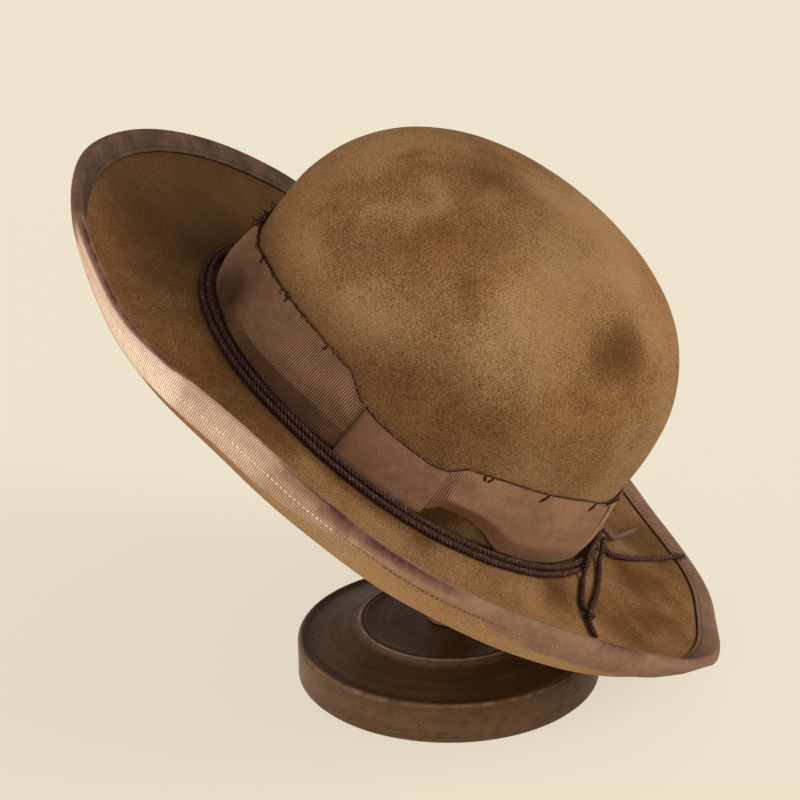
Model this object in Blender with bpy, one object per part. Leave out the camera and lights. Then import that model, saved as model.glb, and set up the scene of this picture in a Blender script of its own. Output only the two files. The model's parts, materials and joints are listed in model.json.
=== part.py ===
"""A felt hat with a round crown, tilted on a turned wooden display stand.

Metres, +Z up. The origin is the centre of the stand's underside. The hat is made in its own frame:
the origin there is the centre of the head opening, +X is the back of the hat and +Z is up the crown.
An angle round the hat is counted in degrees from the back, by way of the left side at 90 degrees.
"""

import math

import bmesh
import bpy
from mathutils import Matrix, Vector
from mathutils.bvhtree import BVHTree

# Felt: the crown and the brim are one piece
FELT_WALL = 0.0025
CROWN_LENGTH = 0.207  # outside, front to back at the foot
CROWN_WIDTH = 0.173
CROWN_HEIGHT = 0.1245
WAIST_HEIGHT = 0.038  # the sides draw in up to here, and the dome starts here
WAIST_DRAW = 0.002
DOME_ROUNDNESS = 2.5  # 2 would be an ellipse, more is squarer
CROWN_LEAN = 0.0022  # towards the front
FOOT_FILLET = 0.003  # where the crown turns into the brim
BRIM_WIDTH = 0.085
CURL_RUN = 0.045  # the outer strip of the brim that curls up

# Slope is the fall of the flat of the brim and curl is how far its edge turns up, in degrees.
# Width is a share of BRIM_WIDTH.
BRIM_SECTIONS = (
    {"angle": 0, "slope": -5, "curl": 12, "width": 0.965},
    {"angle": 30, "slope": -16, "curl": 30, "width": 0.98},
    {"angle": 60, "slope": -14, "curl": 16, "width": 0.975},
    {"angle": 90, "slope": -13, "curl": 14, "width": 0.965},
    {"angle": 120, "slope": -8, "curl": 34, "width": 0.96},
    {"angle": 150, "slope": -4, "curl": 28, "width": 0.965},
    {"angle": 180, "slope": -10, "curl": 60, "width": 0.955},
    {"angle": 210, "slope": -12, "curl": 75, "width": 1.0},
    {"angle": 240, "slope": -4, "curl": 76, "width": 1.08},
    {"angle": 270, "slope": -8, "curl": 87, "width": 1.04},
    {"angle": 300, "slope": -7, "curl": 99, "width": 1.05},
    {"angle": 330, "slope": -10, "curl": 77, "width": 0.99},
)

# Ribbons
GAP = 0.0003  # between two pieces that touch
CLOTH_WALL = 0.001
BINDING_WIDTH = 0.0105  # on each face of the brim
BAND_WIDTH = 0.036
BAND_PUFF = 0.0045
BAND_CLEARANCE = 0.0005  # between the crown and the back of the band
WRAP_START = 248.5
WRAP_END = 273.5
WRAP_OVERLAP = 0.0015  # how far the wrap reaches past the narrow of the band, above and below
WRAP_SWELL = 0.0006  # how far the middle of the wrap stands out

# Top and foot of the band are shares of BAND_WIDTH, puff is a share of BAND_PUFF.
BAND_SECTIONS = (
    {"angle": 0, "top": 0.97, "foot": 0.07, "puff": 0.25},
    {"angle": 60, "top": 1.0, "foot": 0.07, "puff": 0.15},
    {"angle": 120, "top": 1.0, "foot": 0.07, "puff": 0.15},
    {"angle": 172, "top": 0.92, "foot": 0.07, "puff": 0.45},
    {"angle": 188, "top": 0.89, "foot": 0.07, "puff": 0.6},
    {"angle": 197, "top": 0.95, "foot": 0.07, "puff": 0.2},
    {"angle": 210, "top": 0.98, "foot": 0.07, "puff": 0.8},
    {"angle": 225, "top": 1.0, "foot": 0.07, "puff": 1.0},
    {"angle": 239, "top": 0.97, "foot": 0.07, "puff": 1.0},
    {"angle": 247, "top": 0.77, "foot": 0.1, "puff": 0.1},
    {"angle": 254, "top": 0.7, "foot": 0.12, "puff": 0.05},
    {"angle": 268, "top": 0.67, "foot": 0.12, "puff": 0.05},
    {"angle": 274, "top": 0.74, "foot": 0.16, "puff": 0.1},
    {"angle": 277, "top": 0.86, "foot": 0.29, "puff": 0.6},
    {"angle": 283, "top": 0.93, "foot": 0.33, "puff": 1.0},
    {"angle": 290, "top": 0.98, "foot": 0.25, "puff": 0.9},
    {"angle": 298, "top": 1.01, "foot": 0.1, "puff": 0.75},
    {"angle": 314, "top": 1.05, "foot": 0.07, "puff": 0.6},
    {"angle": 330, "top": 0.98, "foot": 0.07, "puff": 0.45},
)
# Each level of the band is a share of the way up it, and of the puff there.
BAND_LEVELS = (
    {"up": 0.0, "puff": 0.3},
    {"up": 0.3, "puff": 1.0},
    {"up": 0.5, "puff": 0.85},
    {"up": 0.8, "puff": 0.35},
    {"up": 1.0, "puff": 0.0},
)
# Each level of the wrap is a share of the way up it, and of its swell, and tucks in at the ends.
WRAP_LEVELS = (
    {"up": 0.0, "swell": -0.5},
    {"up": 0.15, "swell": 0.3},
    {"up": 0.5, "swell": 1.0},
    {"up": 0.85, "swell": 0.3},
    {"up": 1.0, "swell": -1.5},
)

# Cord: it goes twice round the foot of the band and is knotted at the back
CORD = 0.0028
CORD_STEP = 2.0  # diameters between two points of a free end
TURN_STEPS = 44
# The middle of the cord is so far out along the brim from the crown's foot, and so far off the brim.
UPPER_TURN = {"out": 0.0053, "lift": 0.0035}
LOWER_TURN = {"out": 0.0079, "lift": 0.0017}
KNOT = {"angle": 353.0, "out": 0.0056, "lift": 0.0036}
KNOT_SIZE = (0.0064, 0.0080, 0.0060)  # outward, along the cord and up
KNOT_REACH = 2.7  # degrees from the middle of the knot to the ends of the turns
LOOP_KNOT = {"angle": 323.1, "out": 0.0303, "lift": 0.0028}
LOOP_KNOT_SIZE = (0.0054, 0.0054, 0.0048)

# Routes of the free ends, by hand: angle, out along the brim, off the brim
LOOP_LEFT = (
    (350.9, 0.0050, 0.0070),
    (347.0, 0.0044, 0.0072),
    (343.8, 0.0042, 0.0072),
    (340.5, 0.0044, 0.0070),
    (337.5, 0.0050, 0.0069),
    (335.0, 0.0064, 0.0066),
    (333.2, 0.0084, 0.0056),
    (332.0, 0.0106, 0.0036),
    (331.0, 0.0130, 0.0019),
    (327.1, 0.0184, 0.0019),
    (324.6, 0.0230, 0.0019),
    (323.4, 0.0270, 0.0020),
)
LOOP_RIGHT = (
    (351.2, 0.0085, 0.0057),
    (349.0, 0.0094, 0.0053),
    (347.0, 0.0106, 0.0040),
    (345.0, 0.0118, 0.0024),
    (341.4, 0.0148, 0.0019),
    (336.6, 0.0184, 0.0019),
    (332.2, 0.0220, 0.0019),
    (328.0, 0.0256, 0.0019),
    (324.4, 0.0290, 0.0023),
)
LOOP_TAIL = (
    (322.3, 0.0330, 0.0020),
    (321.7, 0.0368, 0.0019),
    (321.1, 0.0410, 0.0019),
)
END_LONG = (
    (354.7, 0.0096, 0.0047),
    (353.8, 0.0110, 0.0034),
    (353.0, 0.0128, 0.0024),
    (353.1, 0.0150, 0.0019),
    (354.4, 0.0194, 0.0019),
    (357.6, 0.0262, 0.0019),
    (361.4, 0.0348, 0.0019),
    (366.0, 0.0464, 0.0019),
    (369.8, 0.0585, 0.0019),
    (371.8, 0.0660, 0.0022),
    (372.6, 0.0710, 0.0031),
    (373.2, 0.0760, 0.0032),
)
END_SHORT = (
    (354.8, 0.0068, 0.0071),
    (356.6, 0.0084, 0.0072),
    (358.2, 0.0110, 0.0054),
    (360.2, 0.0146, 0.0034),
    (362.6, 0.0192, 0.0020),
    (366.9, 0.0262, 0.0019),
    (372.3, 0.0365, 0.0019),
    (377.6, 0.0505, 0.0019),
)

# Stand
BASE_RADIUS = 0.072
BASE_HEIGHT = 0.020
BASE_ROUND = 0.0025
RING_DISH = 0.001  # how far the ring of the base sinks below its edge
TIER_RADIUS = 0.043
TIER_HEIGHT = 0.0275
TIER_BEAD = 0.002
POST_RADIUS = 0.0115
REST_RADIUS = 0.040
REST_DOME = 0.012
REST_NECK = 0.022  # the length over which the post widens into the rest

# The hat's place on the stand
HAT_AT = Vector((-0.020, 0.0, 0.135))
HAT_TILT = 37.0  # back down, in degrees
HAT_ROLL = 7.0  # towards its right side

AROUND = 60  # stations round the hat
WAIST_STEPS = 3
DOME_STEPS = 7
DOME_LAST = 84.0  # the last ring of the dome, in degrees of its arc
BRIM_STEPS = (0.12, 0.28, 0.47, 0.62, 0.76)  # shares of the brim's width, before the binding
WRAP_STEPS = 5
STAND_STEPS = 48
POST_STEPS = 24
REST_RINGS = 8  # rings of the rest's dome that are tried against the crown
SHARP_FROM = 40.0  # degrees between two faces

FELT = {"name": "tan_felt", "colour": (0.25, 0.145, 0.062), "roughness": 0.95}
RIBBON = {"name": "brown_ribbon", "colour": (0.165, 0.09, 0.06), "roughness": 0.8}
CORD_YARN = {"name": "dark_cord", "colour": (0.05, 0.025, 0.028), "roughness": 0.7}
DARK_WOOD = {"name": "dark_wood", "colour": (0.045, 0.024, 0.013), "roughness": 0.4}


def clear_scene():
    for old in list(bpy.data.objects):
        bpy.data.objects.remove(old)


def hat_matrix():
    tilt = Matrix.Rotation(math.radians(HAT_TILT), 4, "Y")
    roll = Matrix.Rotation(math.radians(HAT_ROLL), 4, "X")
    return Matrix.Translation(HAT_AT) @ roll @ tilt


def around(table, key, angle):
    """The table's value at an angle: a smooth closed curve that never overshoots its rows."""
    angle = angle % 360
    after = next((i for i, row in enumerate(table) if row["angle"] > angle), len(table))

    def place(i):
        turns, row = divmod(i, len(table))
        return table[row]["angle"] + 360 * turns

    def value(i):
        return table[i % len(table)][key]

    def rise(i):
        return (value(i + 1) - value(i)) / (place(i + 1) - place(i))

    def tangent(i):
        before, behind = rise(i - 1), rise(i)
        if before * behind <= 0:
            return 0.0
        return 2 * before * behind / (before + behind)

    start = after - 1
    span = place(after) - place(start)
    t = (angle - place(start)) / span
    return (
        value(start) * (1 + 2 * t) * (1 - t) ** 2
        + tangent(start) * span * t * (1 - t) ** 2
        + value(after) * t * t * (3 - 2 * t)
        - tangent(after) * span * t * t * (1 - t)
    )


def oval_normal(angle):
    """Outward from the foot of the crown, level."""
    turn = math.radians(angle)
    return Vector((CROWN_WIDTH * math.cos(turn), CROWN_LENGTH * math.sin(turn), 0)).normalized()


def oval_point(angle, inset=0.0, share=1.0):
    turn = math.radians(angle)
    x = (CROWN_LENGTH / 2 - inset) * share * math.cos(turn)
    y = (CROWN_WIDTH / 2 - inset) * share * math.sin(turn)
    return Vector((x, y, 0))


def lean(height):
    return Vector((-CROWN_LEAN * min(1.0, 2 * max(height, 0) / CROWN_HEIGHT), 0, 0))


def side_point(angle, height, off):
    """A point on the side of the crown, below the dome, at a distance off its face."""
    climb = min(1.0, max(0.0, height / WAIST_HEIGHT))
    draw = WAIST_DRAW * climb * climb * (3 - 2 * climb)
    return oval_point(angle, draw - off) + lean(height) + Vector((0, 0, height))


def dome_point(angle, arc, off):
    """A point on the dome, with arc from 0 degrees at the waist to 90 at the top."""
    rise = math.sin(math.radians(arc))
    share = (1 - rise**DOME_ROUNDNESS) ** (1 / DOME_ROUNDNESS)
    height = WAIST_HEIGHT + (CROWN_HEIGHT + off - WAIST_HEIGHT) * rise
    return oval_point(angle, WAIST_DRAW - off, share) + lean(height) + Vector((0, 0, height))


def brim_width(angle):
    return BRIM_WIDTH * around(BRIM_SECTIONS, "width", angle)


def brim_point(angle, out, lift):
    """A point of the brim, so far out from the foot of the crown and so far off its top face."""
    slope = math.radians(around(BRIM_SECTIONS, "slope", angle))
    curl = math.radians(around(BRIM_SECTIONS, "curl", angle))
    flat = brim_width(angle) - CURL_RUN
    level, height = min(out, flat) * math.cos(slope), min(out, flat) * math.sin(slope)
    turned = slope
    if out > flat:
        radius = CURL_RUN / curl
        turned = slope + (out - flat) / radius
        level += radius * (math.sin(turned) - math.sin(slope))
        height += radius * (math.cos(slope) - math.cos(turned))
    level -= lift * math.sin(turned)
    height += lift * math.cos(turned)
    return oval_point(angle) + oval_normal(angle) * level + Vector((0, 0, height))


def stations(count=AROUND):
    return [360 * i / count for i in range(count)]


def felt_rings(depth):
    """Rings of points from the top of the dome to the rim, at a depth below the outer face."""
    rings = []
    for i in range(DOME_STEPS, 0, -1):
        rings.append([dome_point(a, DOME_LAST * i / DOME_STEPS, -depth) for a in stations()])
    for i in range(WAIST_STEPS, -1, -1):
        height = FOOT_FILLET + (WAIST_HEIGHT - FOOT_FILLET) * i / WAIST_STEPS
        rings.append([side_point(a, height, -depth) for a in stations()])
    corner = FOOT_FILLET * (1 - math.sqrt(0.5)) - depth * math.sqrt(0.5)
    rings.append([oval_point(a, -corner) + Vector((0, 0, corner)) for a in stations()])
    outs = [lambda a: FOOT_FILLET]
    outs += [lambda a, share=share: share * brim_width(a) for share in BRIM_STEPS]
    outs += [lambda a: brim_width(a) - BINDING_WIDTH, brim_width]
    for out in outs:
        rings.append([brim_point(a, out(a), -depth) for a in stations()])
    return rings


def finish(bm, name, look, parent):
    """Makes the bmesh an object with its own material, smooth but for sharp edges."""
    bmesh.ops.recalc_face_normals(bm, faces=bm.faces)
    mesh = bpy.data.meshes.new(name)
    bm.to_mesh(mesh)
    bm.free()
    mesh.shade_smooth()
    mesh.set_sharp_from_angle(angle=math.radians(SHARP_FROM))
    return add_object(name, mesh, look, parent)


def add_object(name, data, look, parent):
    piece = bpy.data.objects.new(name, data)
    bpy.context.scene.collection.objects.link(piece)
    piece.parent = parent
    data.materials.append(material(look, name))
    return piece


def material(look, name):
    made = bpy.data.materials.new(f"{name}_{look['name']}")
    made.use_nodes = True
    shader = made.node_tree.nodes["Principled BSDF"]
    shader.inputs["Base Color"].default_value = (*look["colour"], 1.0)
    shader.inputs["Roughness"].default_value = look["roughness"]
    return made


def add_ring(bm, points):
    return [bm.verts.new(p) for p in points]


def reach(ring):
    """The mean distance of a ring's points from the hat's axis."""
    return sum(v.co.xy.length for v in ring) / len(ring)


def skin(bm, rings, closed=True):
    """Covers the rings with triangles. Nested skins are split the same way, so they stay parallel."""
    for one, other in zip(rings, rings[1:]):
        near, far = (one, other) if reach(one) < reach(other) else (other, one)
        for i in range(len(one) if closed else len(one) - 1):
            after = (i + 1) % len(one)
            bm.faces.new((near[i], far[i], far[after]))
            bm.faces.new((near[i], far[after], near[after]))


def cap(bm, ring, top):
    """Closes a ring with a fan of triangles round one raised point."""
    middle = bm.verts.new(top)
    for one, other in zip(ring, ring[1:] + ring[:1]):
        bm.faces.new((one, other, middle))


def felt_body(parent):
    bm = bmesh.new()
    outer = [add_ring(bm, ring) for ring in felt_rings(0)]
    inner = [add_ring(bm, ring) for ring in felt_rings(FELT_WALL)]
    skin(bm, outer + inner[::-1])
    cap(bm, outer[0], lean(CROWN_HEIGHT) + Vector((0, 0, CROWN_HEIGHT)))
    cap(bm, inner[0], lean(CROWN_HEIGHT) + Vector((0, 0, CROWN_HEIGHT - FELT_WALL)))
    return finish(bm, "felt_body", FELT, parent)


def brim_binding(parent):
    """A ribbon folded over the rim and down both faces of the brim."""
    face = GAP + CLOTH_WALL
    section = (
        # out from the rim, off the top face
        (-BINDING_WIDTH, face),
        (GAP, face),
        (face, GAP),
        (face, -FELT_WALL - GAP),
        (GAP, -FELT_WALL - face),
        (-BINDING_WIDTH, -FELT_WALL - face),
        (-BINDING_WIDTH, -FELT_WALL - GAP),
        (GAP, -FELT_WALL - GAP),
        (GAP, GAP),
        (-BINDING_WIDTH, GAP),
    )
    bm = bmesh.new()
    rings = []
    for out, lift in section:
        rings.append(add_ring(bm, [brim_point(a, brim_width(a) + out, lift) for a in stations()]))
    skin(bm, rings + rings[:1])
    return finish(bm, "brim_binding", RIBBON, parent)


def band_off(angle, puff):
    """How far the band's outer face stands off the crown."""
    return BAND_CLEARANCE + CLOTH_WALL + BAND_PUFF * puff * around(BAND_SECTIONS, "puff", angle)


def band_height(angle, up, overlap=0.0):
    """The height of a level of the band, with its foot lowered and its top raised by the overlap."""
    foot = BAND_WIDTH * around(BAND_SECTIONS, "foot", angle) - overlap
    top = BAND_WIDTH * around(BAND_SECTIONS, "top", angle) + overlap
    return foot + (top - foot) * up


def ribbon_band(parent):
    angles = sorted(stations() + [WRAP_START - 1, WRAP_END + 1])
    bm = bmesh.new()
    rings = []
    for level in BAND_LEVELS:
        points = []
        for a in angles:
            height = band_height(a, level["up"])
            points.append(side_point(a, height, band_off(a, level["puff"])))
        rings.append(add_ring(bm, points))
    skin(bm, rings)
    band = finish(bm, "ribbon_band", RIBBON, parent)
    thicken(band)
    return band


def thicken(piece):
    wall = piece.modifiers.new("wall", "SOLIDIFY")
    wall.thickness = CLOTH_WALL
    wall.offset = -1
    wall.use_even_offset = True


def bow_wrap(parent):
    """A short ribbon round the narrow of the band, tucked in behind it above and below."""
    step = (WRAP_END - WRAP_START) / WRAP_STEPS
    angles = [WRAP_START + step * i for i in range(WRAP_STEPS + 1)]
    off = max(band_off(a, 1.0) for a in (WRAP_START, WRAP_END)) + 2 * GAP + CLOTH_WALL
    bm = bmesh.new()
    rings = []
    for level in WRAP_LEVELS:
        points = []
        for a in angles:
            height = band_height(a, level["up"], WRAP_OVERLAP)
            points.append(side_point(a, height, off + WRAP_SWELL * level["swell"]))
        rings.append(add_ring(bm, points))
    skin(bm, rings, closed=False)
    wrap = finish(bm, "bow_wrap", RIBBON, parent)
    thicken(wrap)
    return wrap


def cord_tube(name, points, parent):
    curve = bpy.data.curves.new(name, "CURVE")
    curve.dimensions = "3D"
    curve.bevel_depth = CORD / 2
    curve.bevel_resolution = 2
    curve.use_fill_caps = True
    spline = curve.splines.new("POLY")
    spline.points.add(len(points) - 1)
    for slot, point in zip(spline.points, points):
        slot.co = (*point, 1.0)
    spline.use_smooth = True
    return add_object(name, curve, CORD_YARN, parent)


def cord_turn(name, place, parent):
    """One turn round the hat, from one side of the knot to the other."""
    start, end = KNOT["angle"] + KNOT_REACH, KNOT["angle"] + 360 - KNOT_REACH
    angles = [start + (end - start) * i / TURN_STEPS for i in range(TURN_STEPS + 1)]
    return cord_tube(name, [brim_point(a, place["out"], place["lift"]) for a in angles], parent)


def through(points, t):
    """A smooth curve through the points, with t from 0 at the first to 1 at the last."""
    whole = t * (len(points) - 1)
    i = min(int(whole), len(points) - 2)
    t = whole - i
    one, two = points[i], points[i + 1]
    before = points[i - 1] if i else 2 * one - two
    after = points[i + 2] if i + 2 < len(points) else 2 * two - one
    bend = 2 * before - 5 * one + 4 * two - after
    twist = 3 * (one - two) + after - before
    return (2 * one + (two - before) * t + bend * t * t + twist * t**3) / 2


def free_end(name, route, parent):
    """A free stretch of the cord along its route, with a point every few diameters."""
    points = [brim_point(*place) for place in route]
    length = sum((b - a).length for a, b in zip(points, points[1:]))
    steps = max(3, round(length / (CORD_STEP * CORD)))
    return cord_tube(name, [through(points, i / steps) for i in range(steps + 1)], parent)


def cord_knot(name, place, size, parent):
    """A knot, plain here: a round lump turned to lie along the cord."""
    bm = bmesh.new()
    bmesh.ops.create_uvsphere(bm, u_segments=12, v_segments=8, radius=0.5)
    out = oval_normal(place["angle"])
    along = Vector((0, 0, 1)).cross(out)
    turn = Matrix((out, along, (0, 0, 1))).transposed().to_4x4()
    middle = Matrix.Translation(brim_point(place["angle"], place["out"], place["lift"]))
    bm.transform(middle @ turn @ Matrix.Diagonal((*size, 1)))
    return finish(bm, name, CORD_YARN, parent)


def spun(name, outline, steps, look, parent=None):
    """Turns an outline of radius and height about the upright axis."""
    bm = bmesh.new()
    verts = add_ring(bm, [(radius, 0, height) for radius, height in outline])
    edges = [bm.edges.new(pair) for pair in zip(verts, verts[1:])]
    bmesh.ops.spin(
        bm, geom=verts + edges, axis=(0, 0, 1), angle=math.tau, steps=steps, use_merge=True
    )
    bmesh.ops.remove_doubles(bm, verts=bm.verts, dist=1e-6)
    return finish(bm, name, look, parent)


def arc(middle, size, start, end, steps):
    """Points of an elliptical arc in radius and height, between two angles in degrees."""
    turns = [math.radians(start + (end - start) * i / steps) for i in range(steps + 1)]
    return [(middle[0] + size[0] * math.cos(t), middle[1] + size[1] * math.sin(t)) for t in turns]


def stand_base():
    edge = (BASE_RADIUS - BASE_ROUND, BASE_HEIGHT - BASE_ROUND)
    bead = (TIER_RADIUS - TIER_BEAD, TIER_HEIGHT - TIER_BEAD)
    ring = BASE_HEIGHT - RING_DISH
    outline = [(0, 0), (BASE_RADIUS - BASE_ROUND / 2, 0), (BASE_RADIUS, BASE_ROUND / 2)]
    outline += arc(edge, (BASE_ROUND, BASE_ROUND), 0, 90, 3)
    outline += [(BASE_RADIUS - 2 * BASE_ROUND, ring), (TIER_RADIUS, ring)]
    outline += arc(bead, (TIER_BEAD, TIER_BEAD), 0, 90, 3)
    outline += [(TIER_RADIUS - 2 * TIER_BEAD, TIER_HEIGHT - GAP), (0, TIER_HEIGHT - GAP)]
    return spun("stand_base", outline, STAND_STEPS, DARK_WOOD)


def rest_height(felt):
    """How high the rest's dome can stand under the tilted crown, with a gap to the felt."""
    bm = bmesh.new()
    bm.from_mesh(felt.data)
    bm.transform(hat_matrix())
    tree = BVHTree.FromBMesh(bm)
    bm.free()
    tops = []
    for i in range(REST_RINGS + 1):
        share = i / REST_RINGS
        drop = REST_DOME * (1 - math.sqrt(1 - share**2))
        for turn in stations(POST_STEPS):
            reach_out = Vector((REST_RADIUS * share, 0, 0))
            foot = Matrix.Rotation(math.radians(turn), 3, "Z") @ reach_out
            hit = tree.ray_cast(foot + Vector((0, 0, HAT_AT.z)), Vector((0, 0, 1)))[0]
            if hit:
                tops.append(hit.z + drop)
    return min(tops) - GAP


def stand_post(felt):
    """The post, which widens into a domed rest inside the crown."""
    top = rest_height(felt)
    rim = top - REST_DOME
    outline = [(0, TIER_HEIGHT), (POST_RADIUS, TIER_HEIGHT), (POST_RADIUS, rim - REST_NECK)]
    outline += [(POST_RADIUS * 1.3, rim - REST_NECK / 2), (REST_RADIUS * 0.8, rim - REST_NECK / 8)]
    outline += arc((0, rim), (REST_RADIUS, REST_DOME), 0, 90, 5)
    return spun("stand_post", outline, POST_STEPS, DARK_WOOD)


def build():
    clear_scene()
    hat = bpy.data.objects.new("hat_place", None)
    bpy.context.scene.collection.objects.link(hat)
    hat.matrix_world = hat_matrix()
    felt = felt_body(hat)
    brim_binding(hat)
    ribbon_band(hat)
    bow_wrap(hat)
    cord_turn("cord_turn_upper", UPPER_TURN, hat)
    cord_turn("cord_turn_lower", LOWER_TURN, hat)
    cord_knot("cord_knot", KNOT, KNOT_SIZE, hat)
    cord_knot("cord_loop_knot", LOOP_KNOT, LOOP_KNOT_SIZE, hat)
    free_end("cord_loop_left", LOOP_LEFT, hat)
    free_end("cord_loop_right", LOOP_RIGHT, hat)
    free_end("cord_loop_tail", LOOP_TAIL, hat)
    free_end("cord_end_long", END_LONG, hat)
    free_end("cord_end_short", END_SHORT, hat)
    stand_base()
    stand_post(felt)


build()
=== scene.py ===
"""A round felt hat with a ribbon, a knotted cord and a bound brim, tilted on a turned stand.

Metres. The hat is shaped in its own frame and then put on its stand: +X is its back, +Z is up the
crown and the origin is the centre of the head opening. Angles round the hat are in degrees from
its back, and its near side is at 270.
"""

import json
import random
from functools import lru_cache
from math import atan2, cos, degrees, exp, inf, pi, radians, sin, tau

import bmesh
import bpy
from mathutils import Matrix, Vector, kdtree
from mathutils.noise import noise
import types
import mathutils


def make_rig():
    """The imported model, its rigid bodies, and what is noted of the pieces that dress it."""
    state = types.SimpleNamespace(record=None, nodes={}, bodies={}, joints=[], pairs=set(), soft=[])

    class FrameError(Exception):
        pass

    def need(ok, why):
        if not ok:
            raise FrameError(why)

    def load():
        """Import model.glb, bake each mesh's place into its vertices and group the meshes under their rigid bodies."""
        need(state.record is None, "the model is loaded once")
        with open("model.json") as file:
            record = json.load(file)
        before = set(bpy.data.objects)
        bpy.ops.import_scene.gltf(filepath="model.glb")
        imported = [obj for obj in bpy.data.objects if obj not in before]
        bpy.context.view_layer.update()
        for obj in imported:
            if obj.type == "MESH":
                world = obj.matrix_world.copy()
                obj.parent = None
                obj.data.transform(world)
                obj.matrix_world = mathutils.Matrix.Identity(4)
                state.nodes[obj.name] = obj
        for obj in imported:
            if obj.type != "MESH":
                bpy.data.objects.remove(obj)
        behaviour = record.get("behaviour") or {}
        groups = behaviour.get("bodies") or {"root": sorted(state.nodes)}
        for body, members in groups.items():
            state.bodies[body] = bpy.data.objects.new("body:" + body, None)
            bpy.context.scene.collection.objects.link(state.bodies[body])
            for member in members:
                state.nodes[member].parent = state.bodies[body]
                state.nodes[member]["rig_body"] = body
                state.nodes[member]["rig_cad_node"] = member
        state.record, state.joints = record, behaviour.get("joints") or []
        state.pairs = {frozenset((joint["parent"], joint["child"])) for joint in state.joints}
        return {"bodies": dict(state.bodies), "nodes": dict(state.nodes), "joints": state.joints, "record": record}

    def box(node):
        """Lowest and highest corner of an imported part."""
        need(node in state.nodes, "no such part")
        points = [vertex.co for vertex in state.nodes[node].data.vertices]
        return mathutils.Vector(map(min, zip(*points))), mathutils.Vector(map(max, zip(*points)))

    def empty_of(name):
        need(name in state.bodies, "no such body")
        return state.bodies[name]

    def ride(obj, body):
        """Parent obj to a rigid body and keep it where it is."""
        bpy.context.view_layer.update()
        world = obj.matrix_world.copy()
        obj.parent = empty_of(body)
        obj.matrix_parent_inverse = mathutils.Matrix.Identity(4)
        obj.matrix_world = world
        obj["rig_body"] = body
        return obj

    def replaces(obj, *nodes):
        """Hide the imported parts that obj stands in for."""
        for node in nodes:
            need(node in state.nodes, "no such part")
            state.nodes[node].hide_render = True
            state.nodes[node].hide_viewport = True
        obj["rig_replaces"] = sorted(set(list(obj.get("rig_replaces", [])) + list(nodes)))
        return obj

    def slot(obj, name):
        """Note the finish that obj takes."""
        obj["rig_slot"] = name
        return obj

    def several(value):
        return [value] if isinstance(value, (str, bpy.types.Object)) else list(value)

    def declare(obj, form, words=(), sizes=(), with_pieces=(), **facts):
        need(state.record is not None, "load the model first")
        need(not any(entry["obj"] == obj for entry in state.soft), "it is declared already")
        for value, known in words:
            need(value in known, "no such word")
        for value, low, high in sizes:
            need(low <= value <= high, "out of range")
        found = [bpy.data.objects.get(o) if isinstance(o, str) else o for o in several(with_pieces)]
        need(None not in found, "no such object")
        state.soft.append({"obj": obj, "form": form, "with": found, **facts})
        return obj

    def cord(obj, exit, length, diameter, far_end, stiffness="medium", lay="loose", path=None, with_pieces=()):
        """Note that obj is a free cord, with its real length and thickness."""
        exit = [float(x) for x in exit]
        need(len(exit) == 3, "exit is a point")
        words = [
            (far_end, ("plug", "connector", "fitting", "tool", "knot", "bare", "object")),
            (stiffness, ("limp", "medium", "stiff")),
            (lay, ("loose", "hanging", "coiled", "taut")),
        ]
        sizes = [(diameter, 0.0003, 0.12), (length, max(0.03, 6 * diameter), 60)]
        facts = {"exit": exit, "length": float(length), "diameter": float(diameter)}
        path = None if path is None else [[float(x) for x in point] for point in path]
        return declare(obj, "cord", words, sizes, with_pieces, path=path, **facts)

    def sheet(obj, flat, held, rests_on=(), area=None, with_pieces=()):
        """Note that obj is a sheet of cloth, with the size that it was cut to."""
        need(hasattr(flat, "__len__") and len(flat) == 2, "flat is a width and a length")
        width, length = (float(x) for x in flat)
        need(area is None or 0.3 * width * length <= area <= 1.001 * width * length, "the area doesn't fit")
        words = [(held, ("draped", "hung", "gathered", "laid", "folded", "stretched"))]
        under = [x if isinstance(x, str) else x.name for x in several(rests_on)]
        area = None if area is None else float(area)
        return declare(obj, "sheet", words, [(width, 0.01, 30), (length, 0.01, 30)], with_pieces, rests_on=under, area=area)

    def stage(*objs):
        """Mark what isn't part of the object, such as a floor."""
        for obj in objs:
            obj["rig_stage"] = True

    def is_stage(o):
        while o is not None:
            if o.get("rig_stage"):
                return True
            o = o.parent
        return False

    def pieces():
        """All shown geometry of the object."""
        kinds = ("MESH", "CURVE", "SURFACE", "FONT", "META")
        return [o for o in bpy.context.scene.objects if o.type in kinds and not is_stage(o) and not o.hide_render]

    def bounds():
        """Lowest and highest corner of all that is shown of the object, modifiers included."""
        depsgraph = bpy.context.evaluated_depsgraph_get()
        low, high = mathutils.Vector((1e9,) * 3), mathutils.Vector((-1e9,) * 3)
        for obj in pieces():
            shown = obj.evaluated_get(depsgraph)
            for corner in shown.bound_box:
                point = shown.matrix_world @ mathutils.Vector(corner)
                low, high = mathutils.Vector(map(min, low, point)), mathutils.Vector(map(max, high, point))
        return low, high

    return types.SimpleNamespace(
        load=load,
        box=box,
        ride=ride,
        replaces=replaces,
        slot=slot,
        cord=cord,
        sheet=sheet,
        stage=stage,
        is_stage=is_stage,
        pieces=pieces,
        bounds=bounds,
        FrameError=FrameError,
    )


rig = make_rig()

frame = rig.load()
cad_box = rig.bounds()


def angle_table(names, *rows):
    """Named values at angles round the hat, a row for each angle."""
    return [dict(zip(names.split(), row)) for row in rows]


# Felt
FELT_WALL = 0.0025
CROWN_LENGTH = 0.207
CROWN_WIDTH = 0.173
CROWN_HEIGHT = 0.1245
WAIST_HEIGHT = 0.038
WAIST_DRAW = 0.002
DOME_ROUNDNESS = 2.5
CROWN_LEAN = 0.0022
FOOT_FILLET = 0.003
BRIM_WIDTH = 0.085
CURL_RUN = 0.045
TUCK_RUN = 0.014
TUCK_TURN = 24.0

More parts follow.
